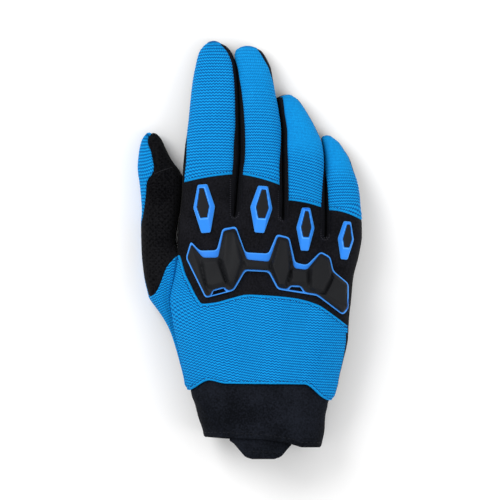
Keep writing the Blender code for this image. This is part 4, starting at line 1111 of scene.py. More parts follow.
def run_tree(name, mesh, tree, **values):
    """The mesh after the tree. Each input is set by the identifier of its socket."""
    source = add_object(name, mesh)
    modifier = source.modifiers.new("nodes", "NODES")
    modifier.node_group = tree
    for socket in tree.interface.items_tree:
        key = socket.name.replace(" ", "_").lower()
        if socket.in_out == "INPUT" and key in values:
            modifier[socket.identifier] = values[key]
    return evaluated(source)


# %% From a sheet to a cloth with a wall
SHEET_FIELDS = ("rib", "hem", "edge", "calm")


def put_attribute(mesh, name, values, kind="FLOAT"):
    field = {"FLOAT": "value", "FLOAT_VECTOR": "vector"}[kind]
    values = np.asarray(values, dtype=float).ravel()
    mesh.attributes.new(name, kind, "POINT").data.foreach_set(field, values)


def finished(name, mesh, finish, nodes=(), sharp=55.0):
    """A finished piece: shaded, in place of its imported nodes."""
    mesh.name = name
    mesh.materials.clear()
    mesh.materials.append(finish)
    mesh.shade_smooth()
    mesh.set_sharp_from_angle(angle=math.radians(sharp))
    piece = add_object(name, mesh)
    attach(piece, "root")
    if nodes:
        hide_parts(*nodes)
    mesh.calc_loop_triangles()
    print(name, len(mesh.loop_triangles), "triangles")
    return piece


def walled(name, outer, inner, faces):
    """Two skins over the same faces, joined by an edge along their open sides."""
    count = len(outer)
    a, b = open_sides(faces).T
    walls = np.stack([b, a, a + count, b + count], axis=1)
    solid = faces.tolist() + (faces[:, ::-1] + count).tolist() + walls.tolist()
    return new_mesh(name, np.concatenate([outer, inner]).tolist(), solid)


def cloth_piece(name, sheet, finish, slot, wall, **relief):
    """A cloth panel: relief outside, plain inside, and an edge between them."""
    mesh = new_mesh(name, sheet.points.tolist(), sheet.quads.tolist())
    for field in SHEET_FIELDS:
        put_attribute(mesh, field, getattr(sheet, field))
    put_attribute(mesh, "out", sheet.out, "FLOAT_VECTOR")
    raised = run_tree(name, mesh, RELIEF, finish=finish, **relief)
    outer = np.empty(3 * len(raised.vertices))
    raised.vertices.foreach_get("co", outer)
    solid = walled(name, outer.reshape(-1, 3), sheet.points - wall * sheet.out, sheet.quads)
    for field in SHEET_FIELDS:
        put_attribute(solid, field, np.tile(getattr(sheet, field), 2))
    return finished(name, solid, finish, [name])


# %% [markdown]
# ## Ribbed stretch cloth
#
# The blue cloth is a knit whose ribs run across the fingers. Each rib is a chain of small
# slanting loops, which gives its edges a fine zigzag. The ribs and their zigzag are in the
# mesh; the material adds the yarn and paints shade into the valleys and light onto the backs
# of the ribs.

# %% Blue rib finish
CALM_TONE = 0.72


def rib_finish():
    """Blue knit with painted shade in the valleys between its ribs and painted light on their backs."""
    made, tree, shader = new_finish("blue_rib_knit", 0.85, 0.08)
    calc = partial(math_node, tree)
    yarn, tone = object_noise(tree, 1100.0, 3.0), object_noise(tree, 45.0)
    # Painted light and shade: a rib's back takes the light colour and its valley the dark one
    back = calc("SINE", calc("MULTIPLY", calc("FRACT", attribute(tree, "rib")), math.pi))
    # The flat turned hem is painted nearly as light as a rib's back
    turned = ramp(tree, attribute(tree, "hem"), 0.0008, 0.0013, 0.7, 0.0)
    crest = calc("MAXIMUM", calc("POWER", back, 1.3), turned)
    # Where a fingertip is stretched smooth, one even tone takes the place of the painted light and shade
    even = {0: attribute(tree, "calm"), 2: crest, 3: CALM_TONE}
    even = add_node(tree, "ShaderNodeMix", even).outputs[0]
    valley_shade = mix_colour(tree, tone, linear(0, 50, 118), linear(0, 60, 130))
    top = mix_colour(tree, tone, linear(8, 150, 224), linear(20, 162, 236))
    light = calc("MULTIPLY", even, ramp(tree, yarn, 0.0, 1.0, 0.55, 1.35))
    paint(tree, shader, light, valley_shade, top)
    bump(tree, shader, 0.6, 0.0003, calc("ADD", even, calc("MULTIPLY", yarn, 0.6)))
    return made


RIB_KNIT = rib_finish()
print("finish", RIB_KNIT.name)

# %% Blue panels
BLUE_WALL = 0.0012
HEMMED = ("knuckle_panel", "cuff")
BLUE_RELIEF = dict(rib_height=0.00032, hem_height=0.00035, stitch_depth=0.0003, roll=0.0005,
                   roll_width=0.0007)
BLUE_NAMES = [f"{finger.name}_finger_back" for finger in FINGERS] + ["thumb_back", "hand_back"]
CALM_TIPS = {
    "middle_finger_back": (0.070, 0.094, 0.55), "ring_finger_back": (0.048, 0.060, 0.85),
    "little_finger_back": (0.036, 0.048, 0.85),
}
blue_sheets = {name: Sheet(ribbed_skin, name, HEMMED) for name in BLUE_NAMES}
# At three fingertips the knit is stretched smooth, so its ribs fade from start to end
for name, (start, end, share) in CALM_TIPS.items():
    ahead = (blue_sheets[name].points[:, 1] - start) / (end - start)
    blue_sheets[name].calm = share * np.clip(ahead, 0.0, 1.0)
blue_pieces = {
    name: cloth_piece(name, sheet, RIB_KNIT, "blue_cloth", BLUE_WALL, **BLUE_RELIEF)
    for name, sheet in blue_sheets.items()
}

# %% [markdown]
# ## Black cloths
#
# Four black cloths meet on this glove, and only their surfaces tell them apart: smooth foam
# over the knuckles, suede on the palm, an open mesh between the fingers and a thick knit
# neoprene at the cuff. Each has its own grain, scale and sheen.


# %% Black finishes
GRAIN_CONTRAST = (-1.6, 2.6)


def grain_finish(name, dark, light, scale, roughness, specular, sheen, relief, tone_scale=60.0):
    """A matt cloth with a fine grain and slow changes of tone."""
    made, tree, shader = new_finish(name, roughness, specular, sheen)
    calc = partial(math_node, tree)
    grain, tone = object_noise(tree, scale, 3.0), object_noise(tree, tone_scale)
    share = calc("ADD", calc("MULTIPLY", grain, 0.6), calc("MULTIPLY", tone, 0.4))
    paint(tree, shader, ramp(tree, share, 0.0, 1.0, *GRAIN_CONTRAST), linear(*dark), linear(*light))
    bump(tree, shader, 0.8, relief, grain)
    return made


def mesh_finish():
    """An open knit: rows of small holes, painted near black as the shade inside them, between raised
    threads.
    """
    made, tree, shader = new_finish("black_mesh", 0.8, 0.10)
    place = add_node(tree, "ShaderNodeTexCoord").outputs["Object"]
    cells = {"Vector": place, "Scale": 950.0, "Randomness": 0.25}
    cells = add_node(tree, "ShaderNodeTexVoronoi", cells).outputs["Distance"]
    thread = ramp(tree, cells, 0.0, 1.0, 0.0, 1.0)
    # Painted shade: the holes are near black, the threads keep the cloth's own black
    paint(tree, shader, thread, linear(2, 2, 4), linear(24, 25, 30))
    bump(tree, shader, 0.8, 0.0003, thread)
    return made


FOAM = grain_finish("black_foam", (6, 6, 9), (22, 22, 27), 1000.0, 0.8, 0.08, 0.0, 0.00015)
SUEDE = grain_finish("black_suede", (5, 5, 7), (24, 24, 26), 1100.0, 0.95, 0.03, 0.02, 0.00025, 40.0)
NEOPRENE = grain_finish("cuff_knit", (6, 8, 13), (24, 27, 35), 1000.0, 0.85, 0.06, 0.0, 0.00025)
MESH = mesh_finish()
print("black finishes:", [finish.name for finish in (FOAM, SUEDE, NEOPRENE, MESH)])

# %% Black panels
SUEDE_WALL = 0.0012
SUEDE_RELIEF = dict(roll=0.0004, roll_width=0.0012)
CUFF_NEIGHBOURS = ("hand_back", "thumb_back", "palm")
plain_sheets, plain_pieces = {}, {}


def black_panel(name, finish, slot, wall, hem_with=(), **relief):
    """A panel of the plain skin, kept by its name for the seams."""
    plain_sheets[name] = Sheet(plain_skin, name, hem_with)
    plain_pieces[name] = cloth_piece(name, plain_sheets[name], finish, slot, wall, **relief)


black_panel("knuckle_panel", FOAM, "black_foam", 0.0020, roll=0.0003, roll_width=0.0012)
for name in ("palm", "thumb_palm"):
    black_panel(name, SUEDE, "black_suede", SUEDE_WALL, **SUEDE_RELIEF)
for name in fourchettes:
    black_panel(name, MESH, "black_mesh", 0.0011, roll=0.0003, roll_width=0.0010)
# The cuff is sewn under its neighbours: along them its hem is lower, not higher
black_panel("cuff", NEOPRENE, "cuff_black", 0.0018, CUFF_NEIGHBOURS, roll=0.0006, roll_width=0.0014,
            hem_height=-0.0009, hem_width=0.0030)

# %% [markdown]
# ## Moulded rubber
#
# The guard and the pads are moulded pieces that follow the knuckles. Modelled by hand, they
# would have to be fitted again after every change of the hand. So each is drawn once on the
# plan, as an outline and the corners of its raised faces, and laid on the cloth. The plan is
# cut into small triangles, every corner is dropped on the cloth, and its height above the
# cloth is read from flat facets between the drawn lines. Averaging that height over a small
# disc rounds the creases, as a real mould does.

# %% Drawings of the guard
GUARD_WIDTH = 0.0898
GUARD_DEPTH = 0.0491
GUARD_BASE_THICKNESS = 0.0016
GUARD_RELIEF = 0.0046
SEAT_GAP = 0.0006
GUARD_STEPS_ACROSS = 163.2
GUARD_STEPS_AHEAD = 89.2
GUARD_ACROSS = -0.020
GUARD_AHEAD = 0.684
GUARD_EDGE_RELIEF = 0.30
GUARD_GROOVE = 0.26
GUARD_TOP_GROWTH = 0.00032
GUARD_BASE_OUTLINE = [
    (5.3, 74.3), (14.1, 64.8), (31.4, 65.2), (37.0, 86.8), (50.6, 89.2), (60.0, 63.1), (83.0, 61.9),
    (91.3, 81.4), (104.0, 78.1), (109.8, 52.9), (121.3, 50.4), (135.3, 64.1), (144.9, 58.7),
    (148.0, 44.6), (163.2, 31.9), (163.0, 6.4), (157.4, 0.3), (131.5, 19.8), (92.0, 26.1), (83.0, 43.4),
    (60.0, 44.6), (48.6, 24.9), (20.0, 17.4), (0.3, 57.4),
]
GUARD_SLOTS = [
    [(26.4, 20.3), (28.0, 24.4), (38.0, 27.2), (40.7, 24.0)],
    [(103.4, 25.9), (105.6, 28.7), (114.7, 28.3), (117.7, 23.7)],
]
GUARD_TOP_OUTLINE = [
    (6.0, 70.9), (17.0, 57.4), (33.0, 57.6), (38.6, 84.4), (49.4, 86.8), (61.0, 55.6), (83.8, 53.4),
    (92.8, 78.8), (102.4, 76.6), (108.2, 47.1), (121.6, 45.2), (135.6, 61.8), (143.4, 57.4),
    (146.6, 43.6), (161.6, 31.2), (161.2, 7.4), (157.4, 2.6), (132.2, 22.0), (119.8, 24.0),
    (115.6, 30.4), (104.6, 30.8), (101.6, 27.0), (93.4, 28.2), (84.2, 45.6), (58.8, 46.7), (47.2, 26.8),
    (42.6, 25.5), (38.8, 29.4), (26.8, 26.2), (24.5, 20.6), (21.0, 19.6), (2.2, 57.8),
]
GUARD_FACES = [
    (0.60, [(6.0, 67.4), (4.2, 57.6), (19.0, 24.8), (12.4, 49.4)]),
    (0.68, [(19.0, 52.4), (31.4, 53.4), (38.6, 33.4), (27.4, 30.2), (22.2, 31.4)]),
    (1.00, [(40.8, 82.0), (48.4, 83.4), (54.4, 53.4), (48.4, 34.4), (44.6, 33.8), (38.8, 54.4)]),
    (0.52, [(61.2, 52.8), (83.0, 51.8), (82.2, 48.0), (62.0, 48.8)]),
    (1.00, [(94.8, 75.0), (101.4, 73.6), (103.8, 47.4), (99.0, 31.6), (94.2, 31.2), (87.6, 49.4)]),
    (0.68, [(107.0, 44.6), (120.4, 43.4), (120.4, 34.6), (107.0, 33.6)]),
    (0.90, [(127.0, 47.6), (136.0, 58.4), (142.0, 54.8), (144.6, 39.6), (137.4, 26.4), (127.6, 28.4)]),
    (0.66, [(149.2, 38.6), (159.6, 29.4), (159.4, 9.6), (156.2, 5.8), (141.4, 20.8)]),
]
GUARD_GROOVES = [
    [(15.0, 55.0), (16.4, 47.4), (21.4, 27.2)], [(35.0, 54.6), (36.2, 46.4), (41.6, 31.2)],
    [(57.6, 58.0), (58.0, 51.0), (53.2, 37.4)], [(85.6, 55.4), (85.2, 49.0), (90.0, 34.4)],
    [(105.4, 50.4), (105.2, 44.8), (102.2, 32.2)], [(123.6, 45.0), (123.8, 36.4), (122.8, 26.4)],
    [(146.2, 42.6), (147.2, 36.8), (139.2, 21.6)],
]


def guard_place(step):
    """The guard is drawn in steps of about half a millimetre from its lower left corner."""
    across = (step[0] / GUARD_STEPS_ACROSS - 0.5) * GUARD_WIDTH + GUARD_ACROSS * PALM_WIDTH
    ahead = (step[1] / GUARD_STEPS_AHEAD - 0.5) * GUARD_DEPTH + GUARD_AHEAD * HAND_LENGTH
    return across + offset[0], ahead + offset[1]


def guard_line(steps):
    return [guard_place(step) for step in steps]


guard_corners = [guard_place(step) for step in ((0, 0), (GUARD_STEPS_ACROSS, GUARD_STEPS_AHEAD))]
print("guard between", np.round(guard_corners, 4).tolist())


# %% [markdown]
# Drawing on a plan needs a few tools: is a place inside an outline, how far is it from the
# line, what does the outline look like with rounded corners, divided evenly or drawn in, and
# which triangles fill it. Blender's constrained Delaunay function finds the triangles.

# %% Plan helpers
NO_SIDE_NEAR = 1.0
CORNER_SHARE = 0.45
SAME_PLACE = 1e-7


def inside(places, outline):
    """Which places on the plan lie inside a closed outline."""
    x, y = places[:, 0], places[:, 1]
    within = np.zeros(len(places), dtype=bool)
    for (x0, y0), (x1, y1) in zip(outline, outline[1:] + outline[:1]):
        if y0 != y1:
            within ^= ((y0 > y) != (y1 > y)) & (x < x0 + (y - y0) / (y1 - y0) * (x1 - x0))
    return within


def clearance(places, outline, closed=True):
    """Distance on the plan from places to the nearest side of an outline."""
    best = np.full(len(places), NO_SIDE_NEAR)
    ends = outline[1:] + outline[:1] if closed else outline[1:]
    for start, end in zip(outline, ends):
        a, run = np.array(start), np.array(end) - np.array(start)
        share = np.clip((places - a) @ run / max(run @ run, 1e-14), 0.0, 1.0)
        best = np.minimum(best, np.linalg.norm(places - a - share[:, None] * run, axis=1))
    return best


def round_corners(outline, radius, steps=3):
    """The outline with each corner replaced by a short curve."""
    rounded = []
    for before, corner, after in zip(outline[-1:] + outline[:-1], outline, outline[1:] + outline[:1]):
        p, c, n = (np.array(place) for place in (before, corner, after))
        start = c + (p - c) * min(CORNER_SHARE, radius / np.linalg.norm(p - c))
        end = c + (n - c) * min(CORNER_SHARE, radius / np.linalg.norm(n - c))
        for step in range(steps + 1):
            t = step / steps
            rounded.append(tuple((1 - t) ** 2 * start + 2 * t * (1 - t) * c + t * t * end))
    return rounded


def divide(line, step):
    """A closed outline with points no further apart than step."""
    points = []
    for start, end in zip(line, line[1:] + line[:1]):
        parts = max(1, math.ceil(math.dist(start, end) / step))
        points += [tuple(mix(np.array(start), np.array(end), part / parts)) for part in range(parts)]
    return points


def shrink(outline, inset):
    """An outline drawn in by an inset, point by point."""
    places = np.array(outline)
    ahead = np.roll(places, -1, axis=0)
    along = unit(ahead - np.roll(places, 1, axis=0))
    area = np.sum(places[:, 0] * ahead[:, 1] - ahead[:, 0] * places[:, 1])
    inward = np.column_stack([-along[:, 1], along[:, 0]]) * math.copysign(1.0, area)
    return places + inset * inward


def triangulate(lines, extra=()):
    """Triangles over lines of a plan; each line is (points, closed)."""
    places, edges = [], []
    for points, closed in lines:
        start = len(places)
        places += [Vector(point) for point in points]
        steps = len(points) if closed else len(points) - 1
        edges += [(start + step, start + (step + 1) % len(points)) for step in range(steps)]
    places += [Vector(point) for point in extra]
    found, _, faces, _, _, _ = delaunay_2d_cdt(places, edges, [], 0, SAME_PLACE)
    return np.array([tuple(place) for place in found]), [tuple(face) for face in faces]


# %% The cloth seen from above
SEAT_REACH = 0.0015
STEEPEST_LIFT = 1.0 / 0.6
HEIGHT_OFF_CLOTH = 0.03
seat_points, seat_faces = [], []
for name in ["knuckle_panel", "hand_back"] + fourchettes + ["palm"]:
    sheet = Sheet(plain_skin, name)
    seat_faces += [tuple(face) for face in (sheet.quads + len(seat_points)).tolist()]
    seat_points += [tuple(point) for point in sheet.points]
SEAT = BVHTree.FromPolygons(seat_points, seat_faces)


def drop(surface, x, y):
    """Where a point that falls from above lands on a surface, and which way that faces."""
    return surface.ray_cast(Vector((x, y, 1.0)), Vector((0.0, 0.0, -1.0)))[:2]


def seat_height(places, reach=SEAT_REACH):
    """The cloth's height under places, calmed over a small cross so that slots are bridged."""
    heights = []
    for x, y in places:
        cross = ((0, 0), (reach, 0), (-reach, 0), (0, reach), (0, -reach))
        hits = [drop(SEAT, x + dx, y + dy)[0] for dx, dy in cross]
        found = [hit.z for hit in hits if hit is not None]
        heights.append(sum(found) / len(found) if found else HEIGHT_OFF_CLOTH)
    return np.array(heights)


def seat_lift(places, reach=SEAT_REACH):
    """How much a height square to the cloth grows when it is measured straight up."""
    x_slope, y_slope = (
        (seat_height(places + step) - seat_height(places - step)) / (2 * reach)
        for step in (np.array([reach, 0]), np.array([0, reach]))
    )
    return np.minimum(np.sqrt(1.0 + x_slope ** 2 + y_slope ** 2), STEEPEST_LIFT)


print("the cloth under the guard is", seat_height([guard_place((60, 50))]).round(4), "m high")


# %% Read the heights of a drawing
def facet_heights(places, levels, soften):
    """Heights between the drawn lines, each averaged over a small disc."""
    base = levels[0][2]
    known = {(round(x, 6), round(y, 6)): height for points, _, height in levels for x, y in points}
    plan, faces = triangulate([(points, closed) for points, closed, _ in levels])
    tops = [Vector((x, y, known.get((round(x, 6), round(y, 6)), base))) for x, y in plan]
    facets = BVHTree.FromPolygons(tops, faces)
    turns = [k * math.pi / 4 for k in range(8)]
    disc = [(0.0, 0.0)] + [(soften * math.cos(turn), soften * math.sin(turn)) for turn in turns]
    total = np.zeros(len(places))
    for dx, dy in disc:
        for number, (x, y) in enumerate(places):
            hit, _ = drop(facets, x + dx, y + dy)
            total[number] += base if hit is None else hit.z
    return total / len(disc)


# %% Cut a plan into triangles
def cut_plan(outline, border, gaps, grid, roll):
    """Small triangles inside a border, on a grid and on rings along the rolled edge."""
    low, high = np.min(outline, axis=0), np.max(outline, axis=0)
    xs, ys = (np.arange(low[axis], high[axis], grid) for axis in (0, 1))
    places = np.stack(np.meshgrid(xs, ys), axis=-1).reshape(-1, 2)
    keep = inside(places, border) & (clearance(places, border) > max(0.35 * grid, 1.2 * roll))
    for gap in gaps:
        keep &= ~inside(places, gap) & (clearance(places, gap) > 0.35 * grid)
    rings = np.concatenate([shrink(border, share * roll) for share in (0.15, 0.5, 1.0)])
    near = inside(rings, border) & (clearance(rings, border) > 0.1 * roll)
    extra = np.concatenate([places[keep], rings[near]])
    plan, faces = triangulate([(line, True) for line in [border] + gaps], extra.tolist())
    faces = np.array(faces)
    centres = plan[faces].mean(axis=1)
    kept = inside(centres, border)
    for gap in gaps:
        kept &= ~inside(centres, gap)
    faces = faces[kept]
    a, b, c = (plan[faces[:, corner]] for corner in range(3))
    turned = (b - a)[:, 0] * (c - a)[:, 1] - (b - a)[:, 1] * (c - a)[:, 0] < 0.0
    faces[turned] = faces[turned][:, ::-1]
    used, corners = np.unique(faces, return_inverse=True)
    return plan[used], corners.reshape(-1, 3)


# %% Mould a piece
HOLE_CORNER = 0.0004
EDGE_DROP = 0.9


def moulding(name, outline, levels, bottom, finish, grid=0.0009, soften=0.0004, roll=0.0005,
             holes=(), corner=0.0007):
    """A moulded piece on the cloth. levels lists (points, closed, height), its outline first."""
    border = divide(round_corners(outline, corner), grid)
    gaps = [divide(round_corners(hole, HOLE_CORNER), grid) for hole in holes]
    plan, faces = cut_plan(outline, border, gaps, grid, roll)
    height = facet_heights(plan, levels, soften)
    distance = np.min([clearance(plan, line) for line in [border] + gaps], axis=0)
    past = np.clip(1.0 - distance / roll, 0.0, 1.0)
    height -= EDGE_DROP * roll * (1.0 - np.sqrt(1.0 - past ** 2))
    ground, lift = seat_height(plan), seat_lift(plan)
    top, under = (np.column_stack([plan, ground + lift * level]) for level in (height, bottom))
    mesh = walled(name, top, under, faces)
    put_attribute(mesh, "edge", np.concatenate([distance, 0.0 * distance]))
    put_attribute(mesh, "height", np.concatenate([height - bottom, 0.0 * height]))
    return finished(name, mesh, finish, [name], sharp=48.0)

# %% [markdown]
# The blue rubber is a touch glossy. Both rubbers are painted lighter near their edges, a
# painted highlight where the edges catch the light, and the pads' rubber also on the crest of
# its rim. The grey rubber is almost black, with a fine leather grain.


# %% Rubber finishes
CREST_BAND = (0.00014, 0.00004)


def rubber_finish(name, body, rim, roughness, specular, grain, relief, edge_highlight_to=0.0008, crest=1.0):
    """A moulded rubber. It takes a painted highlight colour near its border and above the crest height.
    """
    made, tree, shader = new_finish(name, roughness, specular)
    calc = partial(math_node, tree)
    # Painted highlight: lighter near the border, where the rounded edge would catch the light
    edge_highlight = ramp(tree, attribute(tree, "edge"), 0.25 * edge_highlight_to, edge_highlight_to, 1.0, 0.0)
    # Painted highlight: lighter above the crest height, on the narrow top of the pads' rim
    crest_from, crest_to = (crest - below for below in CREST_BAND)
    high = ramp(tree, attribute(tree, "height"), crest_from, crest_to, 0.0, 1.0)
    tone = calc("MULTIPLY", object_noise(tree, 90.0, 3.0), 0.25)
    share = calc("ADD", calc("MAXIMUM", edge_highlight, high), tone)
    paint(tree, shader, share, linear(*body), linear(*rim))
    bump(tree, shader, 0.4, relief, object_noise(tree, grain))
    return made


MOULD_BOTTOM = 0.0003
PAD_HEIGHT = 0.0027
PAD_CREST = PAD_HEIGHT + SEAT_GAP - MOULD_BOTTOM
BLUE_RUBBER = rubber_finish("blue_rubber", (26, 122, 226), (64, 150, 240), 0.5, 0.25, 1800.0, 0.00004)
GREY_RUBBER = rubber_finish("grey_rubber", (20, 21, 24), (27, 28, 31), 0.58, 0.14, 2400.0, 0.00006)
# The pads' rubber is painted lighter on the crest of its rim, a painted highlight
PAD_RUBBER = rubber_finish("pad_rubber", (26, 128, 234), (84, 164, 240), 0.5, 0.25, 1800.0, 0.00004,
                           edge_highlight_to=0.0003, crest=PAD_CREST)
print("rubbers:", [finish.name for finish in (BLUE_RUBBER, GREY_RUBBER, PAD_RUBBER)])

# %% Guard
GUARD_OVERLAP = 0.0002
base_outline = guard_line(GUARD_BASE_OUTLINE)
base_top = SEAT_GAP + GUARD_BASE_THICKNESS
moulding("knuckle_guard_base", base_outline, [(base_outline, True, base_top)], MOULD_BOTTOM,
         BLUE_RUBBER, holes=[guard_line(slot) for slot in GUARD_SLOTS], corner=0.0018)

top_outline = [tuple(place) for place in shrink(guard_line(GUARD_TOP_OUTLINE), -GUARD_TOP_GROWTH)]
drawn = [(share, steps, True) for share, steps in GUARD_FACES]
drawn += [(GUARD_GROOVE, steps, False) for steps in GUARD_GROOVES]
guard_levels = [(top_outline, True, base_top + GUARD_EDGE_RELIEF * GUARD_RELIEF)]
for share, steps, closed in drawn:
    guard_levels.append((guard_line(steps), closed, base_top + share * GUARD_RELIEF))
moulding("knuckle_guard", top_outline, guard_levels, base_top - GUARD_OVERLAP, GREY_RUBBER,
         grid=0.0006, soften=0.00014, corner=0.0014)

# %% [markdown]
# ## Finger pads
#
# Each finger has a long six-sided drop of blue rubber: bevelled sides rise to a narrow rim,
# and a dark insert lies sunk inside the rim.

# %% Drawings of the pads
PAD_EDGE_HEIGHT = 0.0008
PAD_POCKET = 0.0014
RIM_WIDTH = 0.0004
PAD_CORNERS = [(-0.22, 0.50), (0.22, 0.50), (0.50, 0.03), (0.21, -0.50), (-0.21, -0.50), (-0.50, 0.03)]
INSERT_CORNERS = [(-0.11, 0.43), (0.11, 0.43), (0.30, 0.04), (0.17, -0.19), (-0.17, -0.19), (-0.30, 0.04)]
Pad = namedtuple("Pad", "finger width length across ahead lean insert_shift")
PADS = [
    Pad("index", 0.0119, 0.0267, -0.055, 0.049, 4.1, -0.05),
    Pad("middle", 0.0122, 0.0258, 0.048, 0.053, -4.5, 0.05),
    Pad("ring", 0.0100, 0.0237, 0.028, 0.001, -2.0, 0.05),
    Pad("little", 0.0089, 0.0210, 0.055, -0.023, -4.9, 0.10),
]
WAIST = 0.1


def pad_outline(corners, pad, number, inset=0.0):
    """A pad's corners on the plan, turned by its lean and drawn in by an inset."""
    finger = FINGERS[number]
    centre_x = 0.5 * (crotch_x(number) + crotch_x(number + 1)) + pad.across * finger.width + offset[0]
    centre_y = finger_y(number, 0.0, 0.5) + pad.ahead * finger.length + offset[1]
    turn = math.radians(pad.lean)
    points = []
    for share_x, share_y in corners:
        x = share_x * pad.width - inset * math.copysign(1.0, share_x)
        # The two corners at the waist only move sideways
        y = share_y * pad.length - inset * math.copysign(1.0, share_y) * (abs(share_y) > WAIST)
        points.append((centre_x + x * math.cos(turn) - y * math.sin(turn),
                       centre_y + x * math.sin(turn) + y * math.cos(turn)))
    return points[::-1]


# %% Mould the pads
INSERT_HEIGHT = 0.0009
INSERT_GAP = 0.0002
POCKET_SLOPE = 0.0003
pad_top = SEAT_GAP + PAD_HEIGHT
pocket_floor = pad_top - PAD_POCKET
for number, pad in enumerate(PADS):
    corners = [(x + pad.insert_shift, y) for x, y in INSERT_CORNERS]
    outer = pad_outline(PAD_CORNERS, pad, number)
    steps = ((-RIM_WIDTH, pad_top), (0.0, pad_top), (POCKET_SLOPE, pocket_floor))
    levels = [(outer, True, SEAT_GAP + PAD_EDGE_HEIGHT)]
    levels += [(pad_outline(corners, pad, number, inset), True, height) for inset, height in steps]
    moulding(f"{pad.finger}_pad_frame", outer, levels, MOULD_BOTTOM, PAD_RUBBER,
             grid=0.0005, soften=0.00012, roll=0.0004, corner=0.0008)
    insert = pad_outline(corners, pad, number, INSERT_GAP)
    insert_level = [(insert, True, pocket_floor + INSERT_HEIGHT)]
    moulding(f"{pad.finger}_pad_insert", insert, insert_level, pocket_floor, GREY_RUBBER,
             grid=0.0006, soften=0.0001, roll=0.0003, corner=0.0004)

# %% [markdown]
# ## Pull tab
#
# A flat tab of the cuff's cloth is sewn under the back of the cuff. It narrows towards its
# end, where the fingers grip it. It is a grid that follows the cuff's curve. Solidify gives it
# a wall and Bevel rounds its edges, which is quicker than drawing them.

# %% Tab
TAB_WIDTH = 0.0368
TAB_THICKNESS = 0.0020
TAB_REACH = 0.0099
TAB_TUCK = 0.0070
TAB_MIDDLE = -0.042
TAB_SINK = 0.0030
TAB_NARROWING = 0.46
TAB_STEP_IN = 0.06
TAB_ROUNDING = 0.30
TAB_COLUMNS, TAB_ROWS = 40, 20


def pull_tab():
    """The tab's upper face as a grid; two modifiers give it a wall and a rounded edge."""
    mouth = -CUFF_LENGTH
    y = np.linspace(mouth + TAB_TUCK, mouth - TAB_REACH, TAB_ROWS + 1)[:, None]
    out = np.maximum(0.0, (mouth - y) / TAB_REACH)
    taper = 1.0 - TAB_NARROWING * out - TAB_STEP_IN * np.minimum(1.0, out / 0.1)
    taper = taper * (1.0 - TAB_ROUNDING * np.maximum(0.0, 6.0 * out - 5.0) ** 2)
    x = TAB_MIDDLE * PALM_WIDTH + np.linspace(-0.5, 0.5, TAB_COLUMNS + 1) * TAB_WIDTH * taper
    left, right, low, high = body_edges(np.maximum(y, mouth))
    aside = np.abs(2.0 * x - left - right) / (right - left)
    up = (1.0 - aside ** TOP_FULLNESS) ** (1.0 / TOP_FULLNESS)
    points = stacked(x, y, mix(low, high, 0.5 + 0.5 * up) - TAB_SINK).reshape(-1, 3) + offset
    at = np.arange(len(points)).reshape(TAB_ROWS + 1, -1)
    faces = np.stack([at[:-1, :-1], at[1:, :-1], at[1:, 1:], at[:-1, 1:]], axis=-1).reshape(-1, 4)
    source = add_object("tab_plan", new_mesh("pull_tab", points.tolist(), faces.tolist()))
    wall = source.modifiers.new("wall", "SOLIDIFY")
    wall.thickness = TAB_THICKNESS
    wall.offset = -1.0
    round_over = source.modifiers.new("round", "BEVEL")
    round_over.width = 0.0006
    round_over.segments = 3
    round_over.limit_method = "ANGLE"
    return finished("pull_tab", evaluated(source), NEOPRENE, ["pull_tab"])


tab = pull_tab()

# %% [markdown]
# ## Stitches
#
# Seams are sewn with a lockstitch: short threads, one after another, a constant length
# apart. A path is taken from a panel's border, moved in from it and laid on the finished
# cloth. Geometry Nodes then set one thread at each step of the path.


# %% The stitch tree
STITCH_SIZES = {
    "Spacing": 0.0022, "Thread Length": 0.0016, "Thread Width": 0.0004, "Thread Height": 0.0004,
}


def stitch_tree():
    """Geometry Nodes that set threads along paths."""
    tree, given = open_tree("stitches", STITCH_SIZES)
    curve = add_node(tree, "GeometryNodeMeshToCurve", {"Mesh": given["Geometry"]}).outputs[0]
    even = {"Curve": curve, "Length": given["Spacing"]}
    even = add_node(tree, "GeometryNodeResampleCurve", even, mode="LENGTH").outputs[0]
    # Each thread lies along the path, and its top looks away from the cloth
    tangent = add_node(tree, "GeometryNodeInputTangent").outputs[0]
    along = add_node(tree, "FunctionNodeAlignEulerToVector", {"Vector": tangent}, axis="X").outputs[0]
    up = {"Rotation": along, "Vector": named(tree, "out", "FLOAT_VECTOR")}
    up = add_node(tree, "FunctionNodeAlignEulerToVector", up, axis="Z", pivot_axis="X").outputs[0]
    bead = {"Segments": 6, "Rings": 5, "Radius": 0.5}
    bead = add_node(tree, "GeometryNodeMeshUVSphere", bead).outputs[0]
    size = {0: given["Thread Length"], 1: given["Thread Width"], 2: given["Thread Height"]}
    size = add_node(tree, "ShaderNodeCombineXYZ", size).outputs[0]
    thread = add_node(tree, "GeometryNodeTransform", {"Geometry": bead, "Scale": size}).outputs[0]
    placed = {"Points": even, "Instance": thread, "Rotation": up}
    placed = add_node(tree, "GeometryNodeInstanceOnPoints", placed).outputs[0]
    return close_tree(tree, given, placed)


STITCHES = stitch_tree()
print("stitch inputs:", list(STITCH_SIZES))


# %% Threads
def thread_finish(name, *colour):
    """Thread with a fine twist of light and dark."""
    made, tree, shader = new_finish(name, 0.6, 0.2)
    light = linear(*colour)
    dark = tuple(0.7 * value for value in light[:3]) + (1.0,)
    paint(tree, shader, object_noise(tree, 3000.0), dark, light)
    return made


BLUE_THREAD = thread_finish("blue_thread", 0, 40, 96)
BLACK_THREAD = thread_finish("black_thread", 26, 26, 30)
LOOP_THREAD = thread_finish("overlock_thread", 44, 44, 50)
CUFF_THREAD = thread_finish("cuff_thread", 15, 17, 23)
print("threads:", [finish.name for finish in (BLUE_THREAD, BLACK_THREAD, LOOP_THREAD, CUFF_THREAD)])


